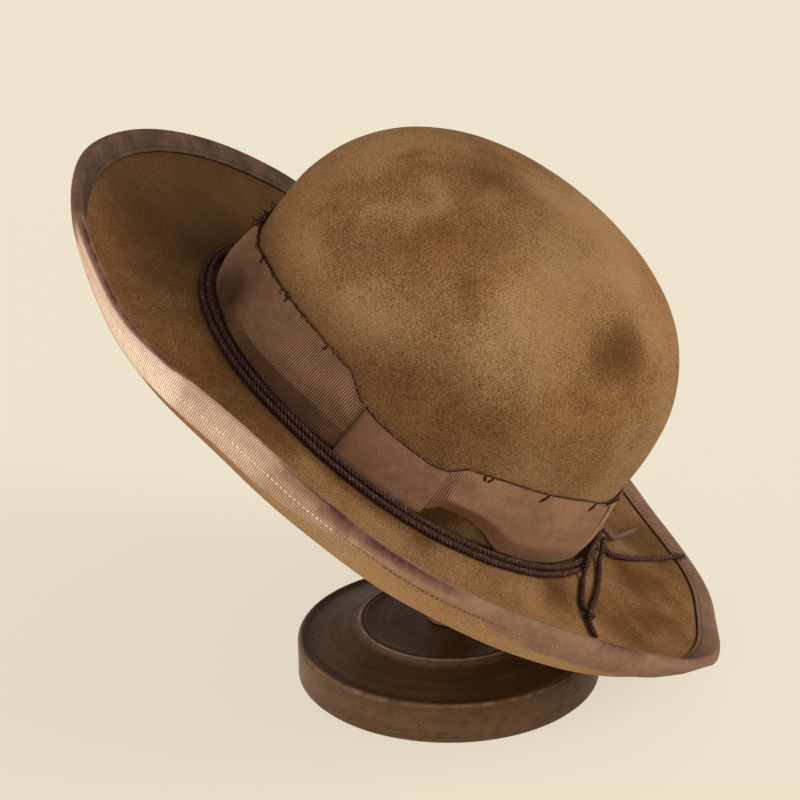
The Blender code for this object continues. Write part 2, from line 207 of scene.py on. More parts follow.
# Slope and curl of the brim are in degrees, its width is a share of BRIM_WIDTH.
BRIM_SECTIONS = angle_table(
    "angle slope curl width",
    (0, -5, 12, 0.965), (30, -16, 30, 0.98), (60, -14, 16, 0.975),
    (90, -13, 14, 0.965), (120, -8, 34, 0.96), (150, -4, 28, 0.965),
    (180, -10, 60, 0.955), (210, -12, 75, 1), (240, -4, 76, 1.08),
    (270, -8, 87, 1.04), (300, -7, 99, 1.05), (330, -10, 77, 0.99),
)

# Ribbons
CLOTH_WALL = 0.001
CLOTH_GAP = 0.0003
CLOTH_FACE = CLOTH_GAP + CLOTH_WALL
BINDING_WIDTH = 0.0105
BAND_WIDTH = 0.036
BAND_PUFF = 0.0045
BAND_CLEARANCE = 0.0005
WRAP_START = 248.5
WRAP_END = 273.5
WRAP_OVERLAP = 0.0015
WRAP_SWELL = 0.0006
RIB_PITCH = 0.00098
RIB_DEPTH = 0.00022
BINDING_RIB_PITCH = 0.0010
RIBBON_WALL = 0.0008
RIM_LENGTH = 1.107
FOOT_LENGTH = 0.602
WRAP_RIBS = 30

# Top and foot of the band are shares of BAND_WIDTH, puff is a share of BAND_PUFF. Crease is how
# sharp its fullest line is.
BAND_SECTIONS = angle_table(
    "angle top foot puff crease",
    (0, 0.97, 0.07, 0.25, 0), (60, 1, 0.07, 0.15, 0), (120, 1, 0.07, 0.15, 0),
    (172, 0.92, 0.07, 0.45, 0), (188, 0.89, 0.07, 0.6, 0), (197, 0.95, 0.07, 0.2, 0),
    (210, 0.98, 0.07, 0.8, 0.4), (225, 1, 0.07, 1, 1), (239, 0.97, 0.07, 1, 1),
    (247, 0.77, 0.1, 0.1, 1), (254, 0.7, 0.12, 0.05, 0), (268, 0.67, 0.12, 0.05, 0),
    (274, 0.74, 0.16, 0.1, 0), (277, 0.86, 0.29, 0.6, 0.2), (283, 0.93, 0.33, 1, 0.2),
    (290, 0.98, 0.25, 0.9, 0.1), (298, 1.01, 0.07, 0.75, 0), (314, 1.05, 0.025, 0.6, 0),
    (330, 0.98, 0.03, 0.45, 0),
)
# Each level is a share of the way up the ribbon, and of what it stands out there.
BAND_LEVELS = ((0.0, 0.3), (0.3, 1.0), (0.5, 0.85), (0.8, 0.35), (1.0, 0.0))
WRAP_LEVELS = ((0.0, -0.5), (0.15, 0.3), (0.5, 1.0), (0.85, 0.6), (1.0, 0.2))

# Cord
CORD = 0.0028
CORD_LAY = 0.0064  # one full twist
CORD_STEP = 0.00064
UPPER_TURN = {"out": 0.0053, "lift": 0.0035}
LOWER_TURN = {"out": 0.0079, "lift": 0.0017}
KNOT = {"angle": 353.0, "out": 0.0056, "lift": 0.0036}
KNOT_SIZE = (0.0064, 0.0080, 0.0060)
KNOT_REACH = 2.7
LOOP_KNOT = {"angle": 323.1, "out": 0.0303, "lift": 0.0028}
LOOP_KNOT_SIZE = (0.0054, 0.0054, 0.0048)

# Routes of the free ends: angle in degrees, out along the brim and off it in mm
LOOP_LEFT = (
    (350.9, 5.0, 7.0), (347.0, 4.4, 7.2), (343.8, 4.2, 7.2), (340.5, 4.4, 7.0),
    (337.5, 5.0, 6.9), (335.0, 6.4, 6.6), (333.2, 8.4, 5.6), (332.0, 10.6, 3.6),
    (331.0, 13.0, 1.9), (327.1, 18.4, 1.9), (324.6, 23.0, 1.9), (323.4, 27.0, 2.0),
)
LOOP_RIGHT = (
    (351.2, 8.5, 5.7), (349.0, 9.4, 5.3), (347.0, 10.6, 4.0), (345.0, 11.8, 2.4),
    (341.4, 14.8, 1.9), (336.6, 18.4, 1.9), (332.2, 22.0, 1.9), (328.0, 25.6, 1.9),
    (324.4, 29.0, 2.3), (322.3, 33.0, 2.0), (321.7, 36.8, 1.9), (321.1, 41.0, 1.9),
)
END_LONG = (
    (354.7, 9.6, 4.7), (353.8, 11.0, 3.4), (353.0, 12.8, 2.4), (353.1, 15.0, 1.9),
    (354.4, 19.4, 1.9), (357.6, 26.2, 1.9), (361.4, 34.8, 1.9), (366.0, 46.4, 1.9),
    (369.8, 58.5, 1.9), (371.8, 66.0, 2.2), (372.6, 71.0, 3.1), (373.2, 76.0, 3.2),
)
END_SHORT = (
    (354.8, 6.8, 7.1), (356.6, 8.4, 7.2), (358.2, 11.0, 5.4), (360.2, 14.6, 3.4),
    (362.6, 19.2, 2.0), (366.9, 26.2, 1.9), (372.3, 36.5, 1.9), (377.6, 50.5, 1.9),
)

# Stand
BASE_RADIUS = 0.072
BASE_HEIGHT = 0.020
BASE_ROUND = 0.0025
RING_DISH = 0.001
TIER_RADIUS = 0.043
TIER_HEIGHT = 0.0275
TIER_STEP = 0.0027
POST_RADIUS = 0.0102

# Soft stains and painted light in the hat's own frame: x, y, z and size in mm, how dark and how red.
# The dark rows are stains, and those on the crown's middle and over the brim's left are partly
# painted shade. The felt is brushed paler where dark is under nought, partly nap and partly
# painted highlight on the crown's lit right and top.
FELT_STAINS_AND_PAINTED_LIGHT = (
    (-70, -54, 81, 19, 0.5, 0.1), (-78, -53, 68, 14, 0.25, 0.3), (-81, -47, 71, 13, 0.25, 0.3),
    (-79, -29, 96, 16, 0.35, 0.4), (-43, -11, 120, 20, 0.55, 0.2), (-49, -31, 114, 14, 0.3, 0.2),
    (-19, 22, 123, 16, 0.35, 0.3), (-49, -50, 104, 17, 0.5, 0.8), (-29, -28, 120, 14, 0.3, 0.5),
    (40, -53, 104, 19, 0.72, 0.2), (33, -60, 100, 13, 0.4, 0.2), (50, -62, 84, 18, 0.35, 0.6),
    (63, -61, 70, 18, 0.05, 0.5), (2, -84, 44, 24, 0.36, 0.1), (-26, -80, 56, 20, 0.3, 0.1),
    (-31, -54, 108, 16, 0.25, 0.3), (-102, -8, 56, 14, 0.25, 0.9), (52, -73, 50, 20, 0.12, 0.4),
    (75, -48, 74, 18, 0.3, 0.4), (28, -37, 117, 14, -0.35, 0.4), (20, 4, 124, 22, -0.75, 0),
    (-73, -8, 108, 18, -0.35, 0), (-5, -70, 96, 22, -0.35, 0), (14, -62, 105, 14, -0.3, 0),
    (-62, -66, 60, 20, -0.4, 0), (50, -33, 107, 15, -0.35, 0.3), (-44, -67, 83, 22, 0.3, 0.3),
    (-60, -20, 113, 16, 0.25, 0.2), (60, 40, 100, 26, 0.45, 0.2), (-30, 60, 90, 30, 0.45, 0.1),
    (30, 70, 80, 24, -0.3, 0), (-80, 45, 50, 24, 0.3, 0.3), (20, 78, 55, 20, 0.35, 0.1),
    (92, 15, 60, 22, 0.3, 0.3), (18, -86, 3, 13, 0.7, 0.1),
    # the brim, its rows from the far side round the front partly painted shade of the crown
    (-105, 95, -4, 55, 0.3, 0.2), (-118, 74, -3, 24, 0.6, 0.2), (-146, 51, -3, 18, 0.45, 0.2),
    (-135, -4, -6, 16, 0.3, 0.3), (-104, -63, -5, 18, 0.3, 0.6), (-128, 30, -4, 46, 0.5, 0.3),
    (-100, 110, -4, 34, 0.6, 0.2), (-150, 40, -4, 30, 0.35, 0.3), (-83, -76, -2, 20, 0.6, 0.4),
    (-61, -93, -1, 16, 0.4, 0.4), (-62, -82, -1, 16, 0.45, 0.2), (12, -97, -2, 12, 0.7, 0.2),
    (42, -104, -3, 22, -0.4, 0), (87, -69, -2, 13, 0.85, 0.3), (97, -68, -4, 8, 0.3, 0),
    (112, -58, -4, 14, 0.4, 0.5), (126, -42, -5, 22, 0.35, 0.5), (151, 53, -11, 30, 0.4, 0.4),
    (132, -14, -3, 26, 0.7, 0.6), (152, -36, -5, 20, 0.45, 1), (125, -58, -5, 18, 0.5, 0.3),
    (142, 30, -6, 38, 0.75, 0.4), (105, 80, -12, 34, 0.55, 0.3), (20, 130, -10, 32, 0.5, 0.3),
    (-60, 130, -6, 22, 0.35, 0.2),
)
# Stains on the band: x, y, z and size in mm, how dark and how red. The two low rows left of the wrap are also painted
# shade below its crease.
BAND_STAINS_AND_SHADE = (
    (-101, -26, 13, 11, 0.75, 0.8), (-102, -16, 8, 10, 0.5, 0.4), (-50, -78, 6, 14, 0.6, 0.1),
    (-72, -63, 6, 12, 0.5, 0.1), (85, -42, 20, 12, 0.3, 0.3),
)
# Worn stretches of the binding, with painted shade on its top from the far side round the front and a
# painted highlight on the near left's underside: from and to which angle, about which level of its
# section, how far across, how dark (painted paler under nought) and how red
BINDING_WEAR_AND_LIGHT = (
    (192, 226, 8, 1.6, 0.9, 1), (247, 258, 10.6, 1.5, 0.9, 1), (255, 275, 11.8, 1.6, 1, 1),
    (300, 310, 11.3, 1.0, 1, 1), (62, 84, 8, 2.4, 0.6, 1), (92, 192, 3, 9, 0.95, 0.1),
    (-8, 40, 3, 6, 0.35, 0.2), (326, 368, 3, 6, 0.35, 0.2), (196, 229, 14, 6, -0.95, 0),
    (282, 346, 13, 9, 0.25, 0.1), (242, 260, 14, 6, -0.15, 0), (226, 244, 14, 6, -0.45, 0),
)

HAT_PLACE = (
    Matrix.Translation((-0.020, 0.0, 0.135))
    @ Matrix.Rotation(radians(7.0), 4, "X")
    @ Matrix.Rotation(radians(37.0), 4, "Y")
)


# Shapes of the hat


@lru_cache(maxsize=None)
def around(table, key, angle):
    """The table's value at an angle: a smooth closed curve that never overshoots its rows."""
    rows = {"brim": BRIM_SECTIONS, "band": BAND_SECTIONS}[table]
    angle = angle % 360
    after = next((i for i, row in enumerate(rows) if row["angle"] > angle), len(rows))
    near = []
    for i in range(after - 2, after + 2):
        turns, i = divmod(i, len(rows))
        near.append((rows[i]["angle"] + 360 * turns, rows[i][key]))
    rises = [(high - low) / (end - start) for (start, low), (end, high) in zip(near, near[1:])]
    bends = [2 * a * b / (a + b) if a * b > 0 else 0.0 for a, b in zip(rises, rises[1:])]
    (start, low), (end, high) = near[1:3]
    span = end - start
    t = (angle - start) / span
    return (
        low * (1 + 2 * t) * (1 - t) ** 2
        + bends[0] * span * t * (1 - t) ** 2
        + high * t * t * (3 - 2 * t)
        - bends[1] * span * t * t * (1 - t)
    )


def spread(start, end, count):
    """So many values, evenly from start to end."""
    return [start + (end - start) * i / (count - 1) for i in range(count)]


def fade(x, low, high):
    t = min(1.0, max(0.0, (x - low) / (high - low)))
    return t * t * (3 - 2 * t)


def stretch(angle, start, full, last, end):
    """1 over a stretch of angles, faded at both its ends."""
    return fade(angle, start, full) * (1 - fade(angle, last, end))


def oval_normal(angle):
    turn = radians(angle)
    return Vector((CROWN_WIDTH * cos(turn), CROWN_LENGTH * sin(turn), 0)).normalized()


def oval_point(angle, inset=0.0, share=1.0):
    turn = radians(angle)
    x = (CROWN_LENGTH / 2 - inset) * share * cos(turn)
    y = (CROWN_WIDTH / 2 - inset) * share * sin(turn)
    return Vector((x, y, 0))


def lean(height):
    return Vector((-CROWN_LEAN * min(1.0, 2 * max(height, 0) / CROWN_HEIGHT), 0, 0))


def side_point(angle, height, off):
    """On the side of the crown, below the dome, at a distance off its face."""
    draw = WAIST_DRAW * fade(height, 0, WAIST_HEIGHT)
    return oval_point(angle, draw - off) + lean(height) + Vector((0, 0, height))


def dome_point(angle, turn):
    """On the dome, with turn from 0 degrees at the waist to 90 at the top."""
    rise = max(0.0, sin(radians(turn))) ** (2 / DOME_ROUNDNESS)
    share = max(0.0, cos(radians(turn))) ** (2 / DOME_ROUNDNESS)
    height = WAIST_HEIGHT + (CROWN_HEIGHT - WAIST_HEIGHT) * rise
    return oval_point(angle, WAIST_DRAW, share) + lean(height) + Vector((0, 0, height))


def brim_width(angle):
    return BRIM_WIDTH * around("brim", "width", angle)


def tuck_turn(angle):
    """How much further the last of the near rim is turned in, in radians."""
    angle = angle % 360
    near = stretch(angle, 205, 245, 310, 330)
    return radians(TUCK_TURN) * near


@lru_cache(maxsize=None)
def brim_wave(angle, out):
    """The slight waves and the one dent of the brim."""
    turn = radians(angle)
    spot = Vector((3.2 * cos(turn), 3.2 * sin(turn), 22 * out))
    wave = 0.0011 * noise(spot) * fade(out, 0.012, 0.035)
    dent = exp(-(((angle % 360 - 321) / 7) ** 2) - ((out - 0.021) / 0.010) ** 2)
    return wave - 0.0007 * dent


def brim_point(angle, out, lift):
    """On the brim, so far out from the foot of the crown and so far off its top face."""
    turned = radians(around("brim", "slope", angle))
    curl = radians(around("brim", "curl", angle)) / CURL_RUN
    tuck = tuck_turn(angle) / TUCK_RUN
    flat, tucked = brim_width(angle) - CURL_RUN, brim_width(angle) - TUCK_RUN
    lift += brim_wave(angle, out)
    level, height = min(out, flat) * cos(turned), min(out, flat) * sin(turned)
    for start, end, bend in ((flat, tucked, curl), (tucked, inf, curl + tuck)):
        if out > start:
            after = turned + (min(out, end) - start) * bend
            level += (sin(after) - sin(turned)) / bend
            height += (cos(turned) - cos(after)) / bend
            turned = after
    level -= lift * sin(turned)
    height += lift * cos(turned)
    return oval_point(angle) + oval_normal(angle) * level + Vector((0, 0, height))


def foot_point(angle, turn):
    """In the hollow of the crown's foot, from 0 degrees up the crown to 90 along the brim."""
    out = FOOT_FILLET * (1 - cos(radians(turn)))
    up = FOOT_FILLET * (1 - sin(radians(turn)))
    fall = out * sin(radians(around("brim", "slope", angle)))
    return oval_point(angle, -out) + Vector((0, 0, up + fall))


def level_share(levels, up, crease=0.0):
    """The share at a height in a ribbon's levels, rounded between rows, straight at a crease."""
    for (low, one), (high, other) in zip(levels, levels[1:]):
        if up <= high:
            t = (up - low) / (high - low)
            return one + (other - one) * (crease * t + (1 - crease) * t * t * (3 - 2 * t))
    return levels[-1][1]


def band_off(angle, up):
    """How far the outer face of the band stands off the crown."""
    puff = level_share(BAND_LEVELS, up, around("band", "crease", angle))
    return BAND_CLEARANCE + CLOTH_WALL + BAND_PUFF * puff * around("band", "puff", angle)


def band_height(angle, up, overlap=0.0):
    foot = BAND_WIDTH * around("band", "foot", angle) - overlap
    top = BAND_WIDTH * around("band", "top", angle) + overlap
    return foot + (top - foot) * up


def wrap_off():
    """How far the wrap stands off the crown, over the fullest part of the band."""
    fullest = max(band_off(a, up / 10) for a in (WRAP_START, WRAP_END) for up in range(11))
    return fullest + 2 * CLOTH_GAP + CLOTH_WALL


def through(points, t):
    """A smooth curve through the points, with t from 0 at the first to 1 at the last."""
    whole = t * (len(points) - 1)
    i = min(int(whole), len(points) - 2)
    t = whole - i
    one, two = points[i], points[i + 1]
    before = points[i - 1] if i else 2 * one - two
    after = points[i + 2] if i + 2 < len(points) else 2 * two - one
    bend = 2 * before - 5 * one + 4 * two - after
    twist = 3 * (one - two) + after - before
    return (2 * one + (two - before) * t + bend * t * t + twist * t**3) / 2


# Making and finishing pieces


def cloth_round(rings, stations, place, chart):
    """A grid wrapped once round the hat, its points put by place and its UV by chart."""
    bm = bmesh.new()
    bmesh.ops.create_grid(bm, x_segments=stations, y_segments=rings - 1, size=0.5)
    for name in ("dark", "red", "soft"):
        bm.verts.layers.float.new(name)
    spots = {}
    for vert in bm.verts:
        step, level = round((vert.co.x + 0.5) * stations), round((vert.co.y + 0.5) * (rings - 1))
        spots[vert] = (360 * step / stations, level)
    cloth = bm.loops.layers.uv.new("cloth")
    for face in bm.faces:
        for corner in face.loops:
            corner[cloth].uv = chart(*spots[corner.vert])
    for vert, spot in spots.items():
        vert.co = place(*spot)
    bmesh.ops.reverse_faces(bm, faces=bm.faces)
    return bm, spots


def close_round(bm):
    """Joins the ends of a wrapped grid, and its middle."""
    bmesh.ops.remove_doubles(bm, verts=bm.verts, dist=1e-6)
    bm.normal_update()


def paint_stains_and_light(bm, stains_and_painted_light):
    """Writes how dark and how red each point of a cloth is, from its stains and painted light."""
    dark, red = bm.verts.layers.float["dark"], bm.verts.layers.float["red"]
    for vert in bm.verts:
        ragged = 1 + 0.5 * noise(vert.co * 45) + 0.3 * noise(vert.co * 130)
        clear = blush = 1.0
        for *at, size, soil_and_shade, rust in stains_and_painted_light:
            far = (vert.co * 1000 - Vector(at)).length * ragged / size
            if far < 2.6:
                near = exp(-far * far)
                clear *= 1 - soil_and_shade * near
                blush *= 1 - rust * near
        vert[dark] = 1 - clear
        vert[red] = 1 - blush


def placed(name, data):
    thing = bpy.data.objects.new(name, data)
    bpy.context.scene.collection.objects.link(thing)
    return thing


def mesh_of(bm, name, look):
    mesh = bpy.data.meshes.new(name)
    bm.to_mesh(mesh)
    bm.free()
    mesh.materials.append(look)
    return mesh


def finish_piece(bm, name, look, slot, nodes=(), place=HAT_PLACE, sharp=60):
    """Makes the piece's object at the origin, with its place in its mesh."""
    if place:
        bm.transform(place)
    mesh = mesh_of(bm, name, look)
    mesh.shade_smooth()
    mesh.set_sharp_from_angle(angle=radians(sharp))
    piece = placed(name, mesh)
    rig.ride(piece, "root")
    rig.slot(piece, slot)
    if nodes:
        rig.replaces(piece, *nodes)
    return piece


def ribbon_piece(bm, name, look, node):
    piece = finish_piece(bm, name, look, "brown_ribbon", [node])
    thicken(piece, RIBBON_WALL)
    return piece


def thicken(piece, wall):
    cloth = piece.modifiers.new("wall", "SOLIDIFY")
    cloth.thickness = wall
    cloth.offset = -1
    cloth.use_even_offset = True


def solid_of_curve(curve, name):
    """Turns a curve with a bevel into a mesh."""
    drawn = placed(name, curve)
    bpy.context.view_layer.update()
    seen = drawn.evaluated_get(bpy.context.evaluated_depsgraph_get())
    bm = bmesh.new()
    bm.from_mesh(seen.to_mesh())
    seen.to_mesh_clear()
    bpy.data.objects.remove(drawn)
    bpy.data.curves.remove(curve)
    bmesh.ops.remove_doubles(bm, verts=bm.verts, dist=1e-7)
    bmesh.ops.recalc_face_normals(bm, faces=bm.faces)
    return bm


# Materials


def new_look(name, roughness, specular):
    look = bpy.data.materials.new(name)
    look.use_nodes = True
    shader = look.node_tree.nodes["Principled BSDF"]
    shader.inputs["Roughness"].default_value = roughness
    shader.inputs["Specular IOR Level"].default_value = specular
    return look, look.node_tree, shader


def add_node(tree, kind, **settings):
    node = tree.nodes.new("ShaderNode" + kind)
    for key, value in settings.items():
        if hasattr(node, key):
            setattr(node, key, value)
        else:
            node.inputs[key].default_value = value
    return node


def tree_of(*values):
    return next(value.id_data for value in values if isinstance(value, bpy.types.NodeSocket))


def link(value, socket):
    """Joins another node's output to an input, or gives it a number or colour."""
    if isinstance(value, bpy.types.NodeSocket):
        tree_of(value).links.new(value, socket)
    elif value is not None:
        socket.default_value = value


def worked(operation, one, other=None, clamp=False):
    """A Math node on two values, each a socket or a number."""
    node = add_node(tree_of(one, other), "Math", operation=operation, use_clamp=clamp)
    link(one, node.inputs[0])
    link(other, node.inputs[1])
    return node.outputs[0]


def times(one, other):
    return worked("MULTIPLY", one, other)


def plus(one, other, clamp=False):
    return worked("ADD", one, other, clamp)


def mixed(share, one, other, blend="MIX"):
    """A colour between two, each a socket or a colour."""
    tree = tree_of(share, one, other)
    node = add_node(tree, "Mix", data_type="RGBA", blend_type=blend, clamp_factor=True)
    for slot, value in ((0, share), (6, one), (7, other)):
        link((*value, 1.0) if isinstance(value, tuple) else value, node.inputs[slot])
    return node.outputs[2]


def grain(where, scale, detail=2.0, roughness=0.5):
    node = add_node(tree_of(where), "TexNoise", Scale=scale, Detail=detail, Roughness=roughness)
    link(where, node.inputs["Vector"])
    return node.outputs["Fac"]


def stretched(value, low, high):
    """A value from low to high made one from 0 to 1."""
    node = add_node(tree_of(value), "MapRange", **{"From Min": low, "From Max": high})
    link(value, node.inputs["Value"])
    return node.outputs["Result"]


def attribute(tree, name):
    return add_node(tree, "Attribute", attribute_name=name).outputs["Fac"]


def object_place(tree):
    return add_node(tree, "TexCoord").outputs["Object"]


def bumped(shader, height, distance, strength=1.0):
    node = add_node(tree_of(height), "Bump", Strength=strength, Distance=distance)
    link(height, node.inputs["Height"])
    link(node.outputs["Normal"], shader.inputs["Normal"])


def nap_group():
    """Short nap and speckle for all the cloth: a shade round 0.5 and a height."""
    group = bpy.data.node_groups.new("nap", "ShaderNodeTree")
    for name, way, kind in (
        ("Vector", "INPUT", "Vector"),
        ("Size", "INPUT", "Float"),
        ("Shade", "OUTPUT", "Float"),
        ("Height", "OUTPUT", "Float"),
    ):
        group.interface.new_socket(name, in_out=way, socket_type="NodeSocket" + kind)
    given, made = group.nodes.new("NodeGroupInput"), group.nodes.new("NodeGroupOutput")
    fine = add_node(group, "TexNoise", Detail=3.0, Roughness=0.75)
    wide = add_node(group, "TexNoise", Detail=4.0, Roughness=0.65)
    for node, share in ((fine, 1.0), (wide, 0.12)):
        link(given.outputs["Vector"], node.inputs["Vector"])
        link(times(given.outputs["Size"], share), node.inputs["Scale"])
    shade = times(fine.outputs["Fac"], 0.6)
    shade = plus(shade, times(wide.outputs["Fac"], 0.4))
    link(shade, made.inputs["Shade"])
    link(fine.outputs["Fac"], made.inputs["Height"])
    return group


def nap_of(group, where, size):
    node = add_node(tree_of(where), "Group", node_tree=group, Size=size)
    link(where, node.inputs["Vector"])
    return node.outputs["Shade"], node.outputs["Height"]


def scaled(colour, share):
    return tuple(share * part for part in colour)


def felt_look(nap):
    """Brushed felt: pale nap over a darker, redder ground that shows where it is abraded and stained, and where shade
    is painted.
    """
    look, tree, shader = new_look("tan_felt", 0.95, 0.1)
    place = object_place(tree)
    height = nap_of(nap, place, 1800.0)[1]
    cloud = stretched(grain(place, 34.0, 6.0, 0.62), 0.36, 0.64)
    drift = stretched(grain(place, 13.0), 0.38, 0.62)
    grit = worked("SUBTRACT", stretched(height, 0.38, 0.62), 0.5)
    # the dark attribute holds stains and painted shade; under nought it makes the felt paler, partly as painted
    # highlight
    dark = attribute(tree, "dark")
    ground = plus(times(cloud, 0.38), times(dark, 0.75))
    ground = plus(plus(ground, 0.08), grit, clamp=True)
    pale = mixed(drift, (0.385, 0.235, 0.115), (0.365, 0.195, 0.085))
    deep = mixed(attribute(tree, "red"), (0.130, 0.058, 0.016), (0.190, 0.062, 0.012))
    tan = mixed(ground, pale, deep)
    # the darkest stains and painted shade go near black-brown
    heavy = times(times(dark, dark), 0.8)
    heavy = times(heavy, worked("GREATER_THAN", dark, 0.0))
    tan = mixed(heavy, tan, (0.062, 0.030, 0.010))
    fleck = stretched(height, 0.36, 0.64)
    fleck = mixed(fleck, (1.22, 1.23, 1.24), (0.82, 0.80, 0.77))
    link(mixed(1.0, tan, fleck, "MULTIPLY"), shader.inputs["Base Color"])
    bumped(shader, height, 0.0007)
    return look


def ribbon_look(nap, name, tone, along, pitch, depth):
    """Ribbed ribbon, its grooves across the UV's first or second direction darkened as painted shade."""
    look, tree, shader = new_look(name, 0.7, 0.25)
    place = object_place(tree)
    speckle, height = nap_of(nap, place, 1900.0)
    split = add_node(tree, "SeparateXYZ")
    link(add_node(tree, "UVMap").outputs["UV"], split.inputs[0])
    wave = worked("COSINE", times(split.outputs[along], tau / pitch))
    groove = stretched(plus(times(wave, -0.5), 0.5), 0.2, 0.8)
    cloud = stretched(grain(place, 38.0, 3.0, 0.6), 0.34, 0.66)
    base = mixed(cloud, scaled(tone, 0.88), scaled(tone, 1.12))
    flat = times(worked("SUBTRACT", 0.55, groove), 0.65)
    groove = plus(groove, times(flat, attribute(tree, "soft")))
    # painted shade in the grooves between the ribs
    base = mixed(times(groove, depth), base, scaled(tone, 0.10))
    # the dark attribute holds dirt and painted shade; under nought it gives a painted highlight, pale on the ribs
    soil_and_shade = mixed(attribute(tree, "red"), (0.050, 0.026, 0.014), (0.060, 0.018, 0.016))
    dark = attribute(tree, "dark")
    base = mixed(dark, base, soil_and_shade)
    painted_pale = mixed(groove, (0.97, 0.88, 0.76), scaled(tone, 1.4))
    base = mixed(times(dark, -1.0), base, painted_pale)
    speckle = stretched(speckle, 0.36, 0.62)
    thread = mixed(speckle, (0.78, 0.74, 0.72), (1.2, 1.2, 1.2))
    link(mixed(1.0, base, thread, "MULTIPLY"), shader.inputs["Base Color"])
    bumped(shader, height, 0.0002, 0.6)
    return look


def cord_look(nap, name, deep, lit):
    """Twisted yarn, flecked on the ridges of its strands, with painted shade in the valleys between them and painted
    highlight on their crests.
    """
    look, tree, shader = new_look(name, 0.75, 0.1)
    place = object_place(tree)
    speckle, height = nap_of(nap, place, 1500.0)
    ridge = attribute(tree, "ridge")
    fleck = stretched(grain(place, 950.0, 2.0, 0.6), 0.55, 0.66)
    fleck = times(times(fleck, times(ridge, ridge)), 0.75)
    # painted light: the valleys take the deep tone as shade, the crests the lit tone as highlight
    base = mixed(fleck, mixed(ridge, deep, lit), (0.33, 0.20, 0.19))
    link(base, shader.inputs["Base Color"])
    bumped(shader, plus(speckle, height), 0.0002, 0.8)
    return look


def plain_thread_look(name, colour):
    look, tree, shader = new_look(name, 0.9, 0.05)
    shade = stretched(grain(object_place(tree), 700.0, 2.0, 0.6), 0.3, 0.7)
    tone = mixed(shade, scaled(colour, 0.6), scaled(colour, 1.3))
    link(tone, shader.inputs["Base Color"])
    return look


def wood_look(name, deep, mid, worn_and_painted_light):
    """Stained wood turned on a lathe: rings on its faces, streaks on its sides, edges lightened by rubbing and as
    painted highlight lines.
    """
    look, tree, shader = new_look(name, 0.4, 0.12)
    place = object_place(tree)
    split = add_node(tree, "SeparateXYZ")
    link(place, split.inputs[0])
    x, y, z = split.outputs
    radius = worked("SQRT", plus(times(x, x), times(y, y)))
    turned = add_node(tree, "CombineXYZ")
    link(times(radius, 420.0), turned.inputs[0])
    link(times(z, 600.0), turned.inputs[1])
    drawn = add_node(tree, "VectorMath", operation="MULTIPLY_ADD")
    for slot, value in enumerate((place, (14.0, 14.0, 14.0), turned.outputs[0])):
        link(value, drawn.inputs[slot])
    streak = grain(drawn.outputs[0], 1.0, 4.0, 0.6)
    cloud = stretched(grain(place, 22.0, 3.0, 0.6), 0.36, 0.64)
    pit = stretched(grain(place, 420.0, 3.0, 0.7), 0.60, 0.72)
    chip = stretched(grain(place, 160.0, 4.0, 0.7), 0.32, 0.54)
    base = mixed(stretched(streak, 0.05, 0.95), deep, mid)
    base = mixed(times(cloud, 0.55), base, deep)
    # the edge colour marks rubbing, and also paints highlight lines on the top edge and the bead
    base = mixed(times(attribute(tree, "wear_and_highlight"), chip), base, worn_and_painted_light)
    base = mixed(times(pit, 0.6), base, scaled(deep, 0.3))
    link(base, shader.inputs["Base Color"])
    rough = plus(times(cloud, 0.18), 0.34)
    link(plus(rough, times(pit, 0.3)), shader.inputs["Roughness"])
    bumped(shader, worked("SUBTRACT", streak, times(pit, 0.5)), 0.0004, 0.5)
    return look


# Camera and stage


def set_camera():
    """The photograph's own view, looking 24 degrees down."""
    down, away = radians(24.07), 1.1
    lens = bpy.data.cameras.new("camera")
    lens.sensor_width = 36.0
    lens.lens = 106.9
    lens.shift_x = -0.0612
    lens.shift_y = 0.0971
    lens.clip_start = 0.05
    camera = placed("camera", lens)
    camera.location = (0, -away * cos(down), 0.1 + away * sin(down))
    camera.rotation_euler = (radians(90) - down, 0, 0)
    bpy.context.scene.camera = camera


def add_light(name, turn, rise, softness, power):
    """A soft light from far off: its bearing from the right and its height, in degrees."""
    light = bpy.data.lights.new(name, "SUN")
    light.angle = radians(softness)
    light.energy = power
    light.color = (1.0, 0.95, 0.88)
    sun = placed(name, light)
    turn, rise = radians(turn), radians(rise)
    towards = Vector((cos(turn) * cos(rise), sin(turn) * cos(rise), sin(rise)))
    sun.location = towards * 2
    sun.rotation_euler = towards.to_track_quat("Z", "Y").to_euler()


def set_stage():
    """A pale lit floor, a soft light from each side and a weak one from the front."""
    bpy.context.scene.view_settings.view_transform = "Standard"
    world = bpy.data.worlds.new("studio")
    world.use_nodes = True
    sky = world.node_tree.nodes["Background"].inputs
    sky["Color"].default_value = (1.0, 0.95, 0.86, 1.0)
    sky["Strength"].default_value = 0.46
    bpy.context.scene.world = world
    bm = bmesh.new()
    bmesh.ops.create_grid(bm, x_segments=1, y_segments=1, size=8.0)
    paper, _, shader = new_look("pale_floor", 1.0, 0.0)
    shader.inputs["Base Color"].default_value = (0.22, 0.20, 0.158, 1.0)
    shader.inputs["Emission Color"].default_value = (0.676, 0.613, 0.499, 1.0)
    shader.inputs["Emission Strength"].default_value = 1.0
    floor = placed("floor", mesh_of(bm, "floor", paper))
    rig.stage(floor)
    add_light("left_light", 208, 7, 18, 1.8)
    add_light("right_light", -11, 26, 28, 2.0)
    add_light("front_light", -72, 8, 30, 0.5)


# Cords, and what is tied in them


def length_of(line):
    return sum((b - a).length for a, b in zip(line, line[1:]))


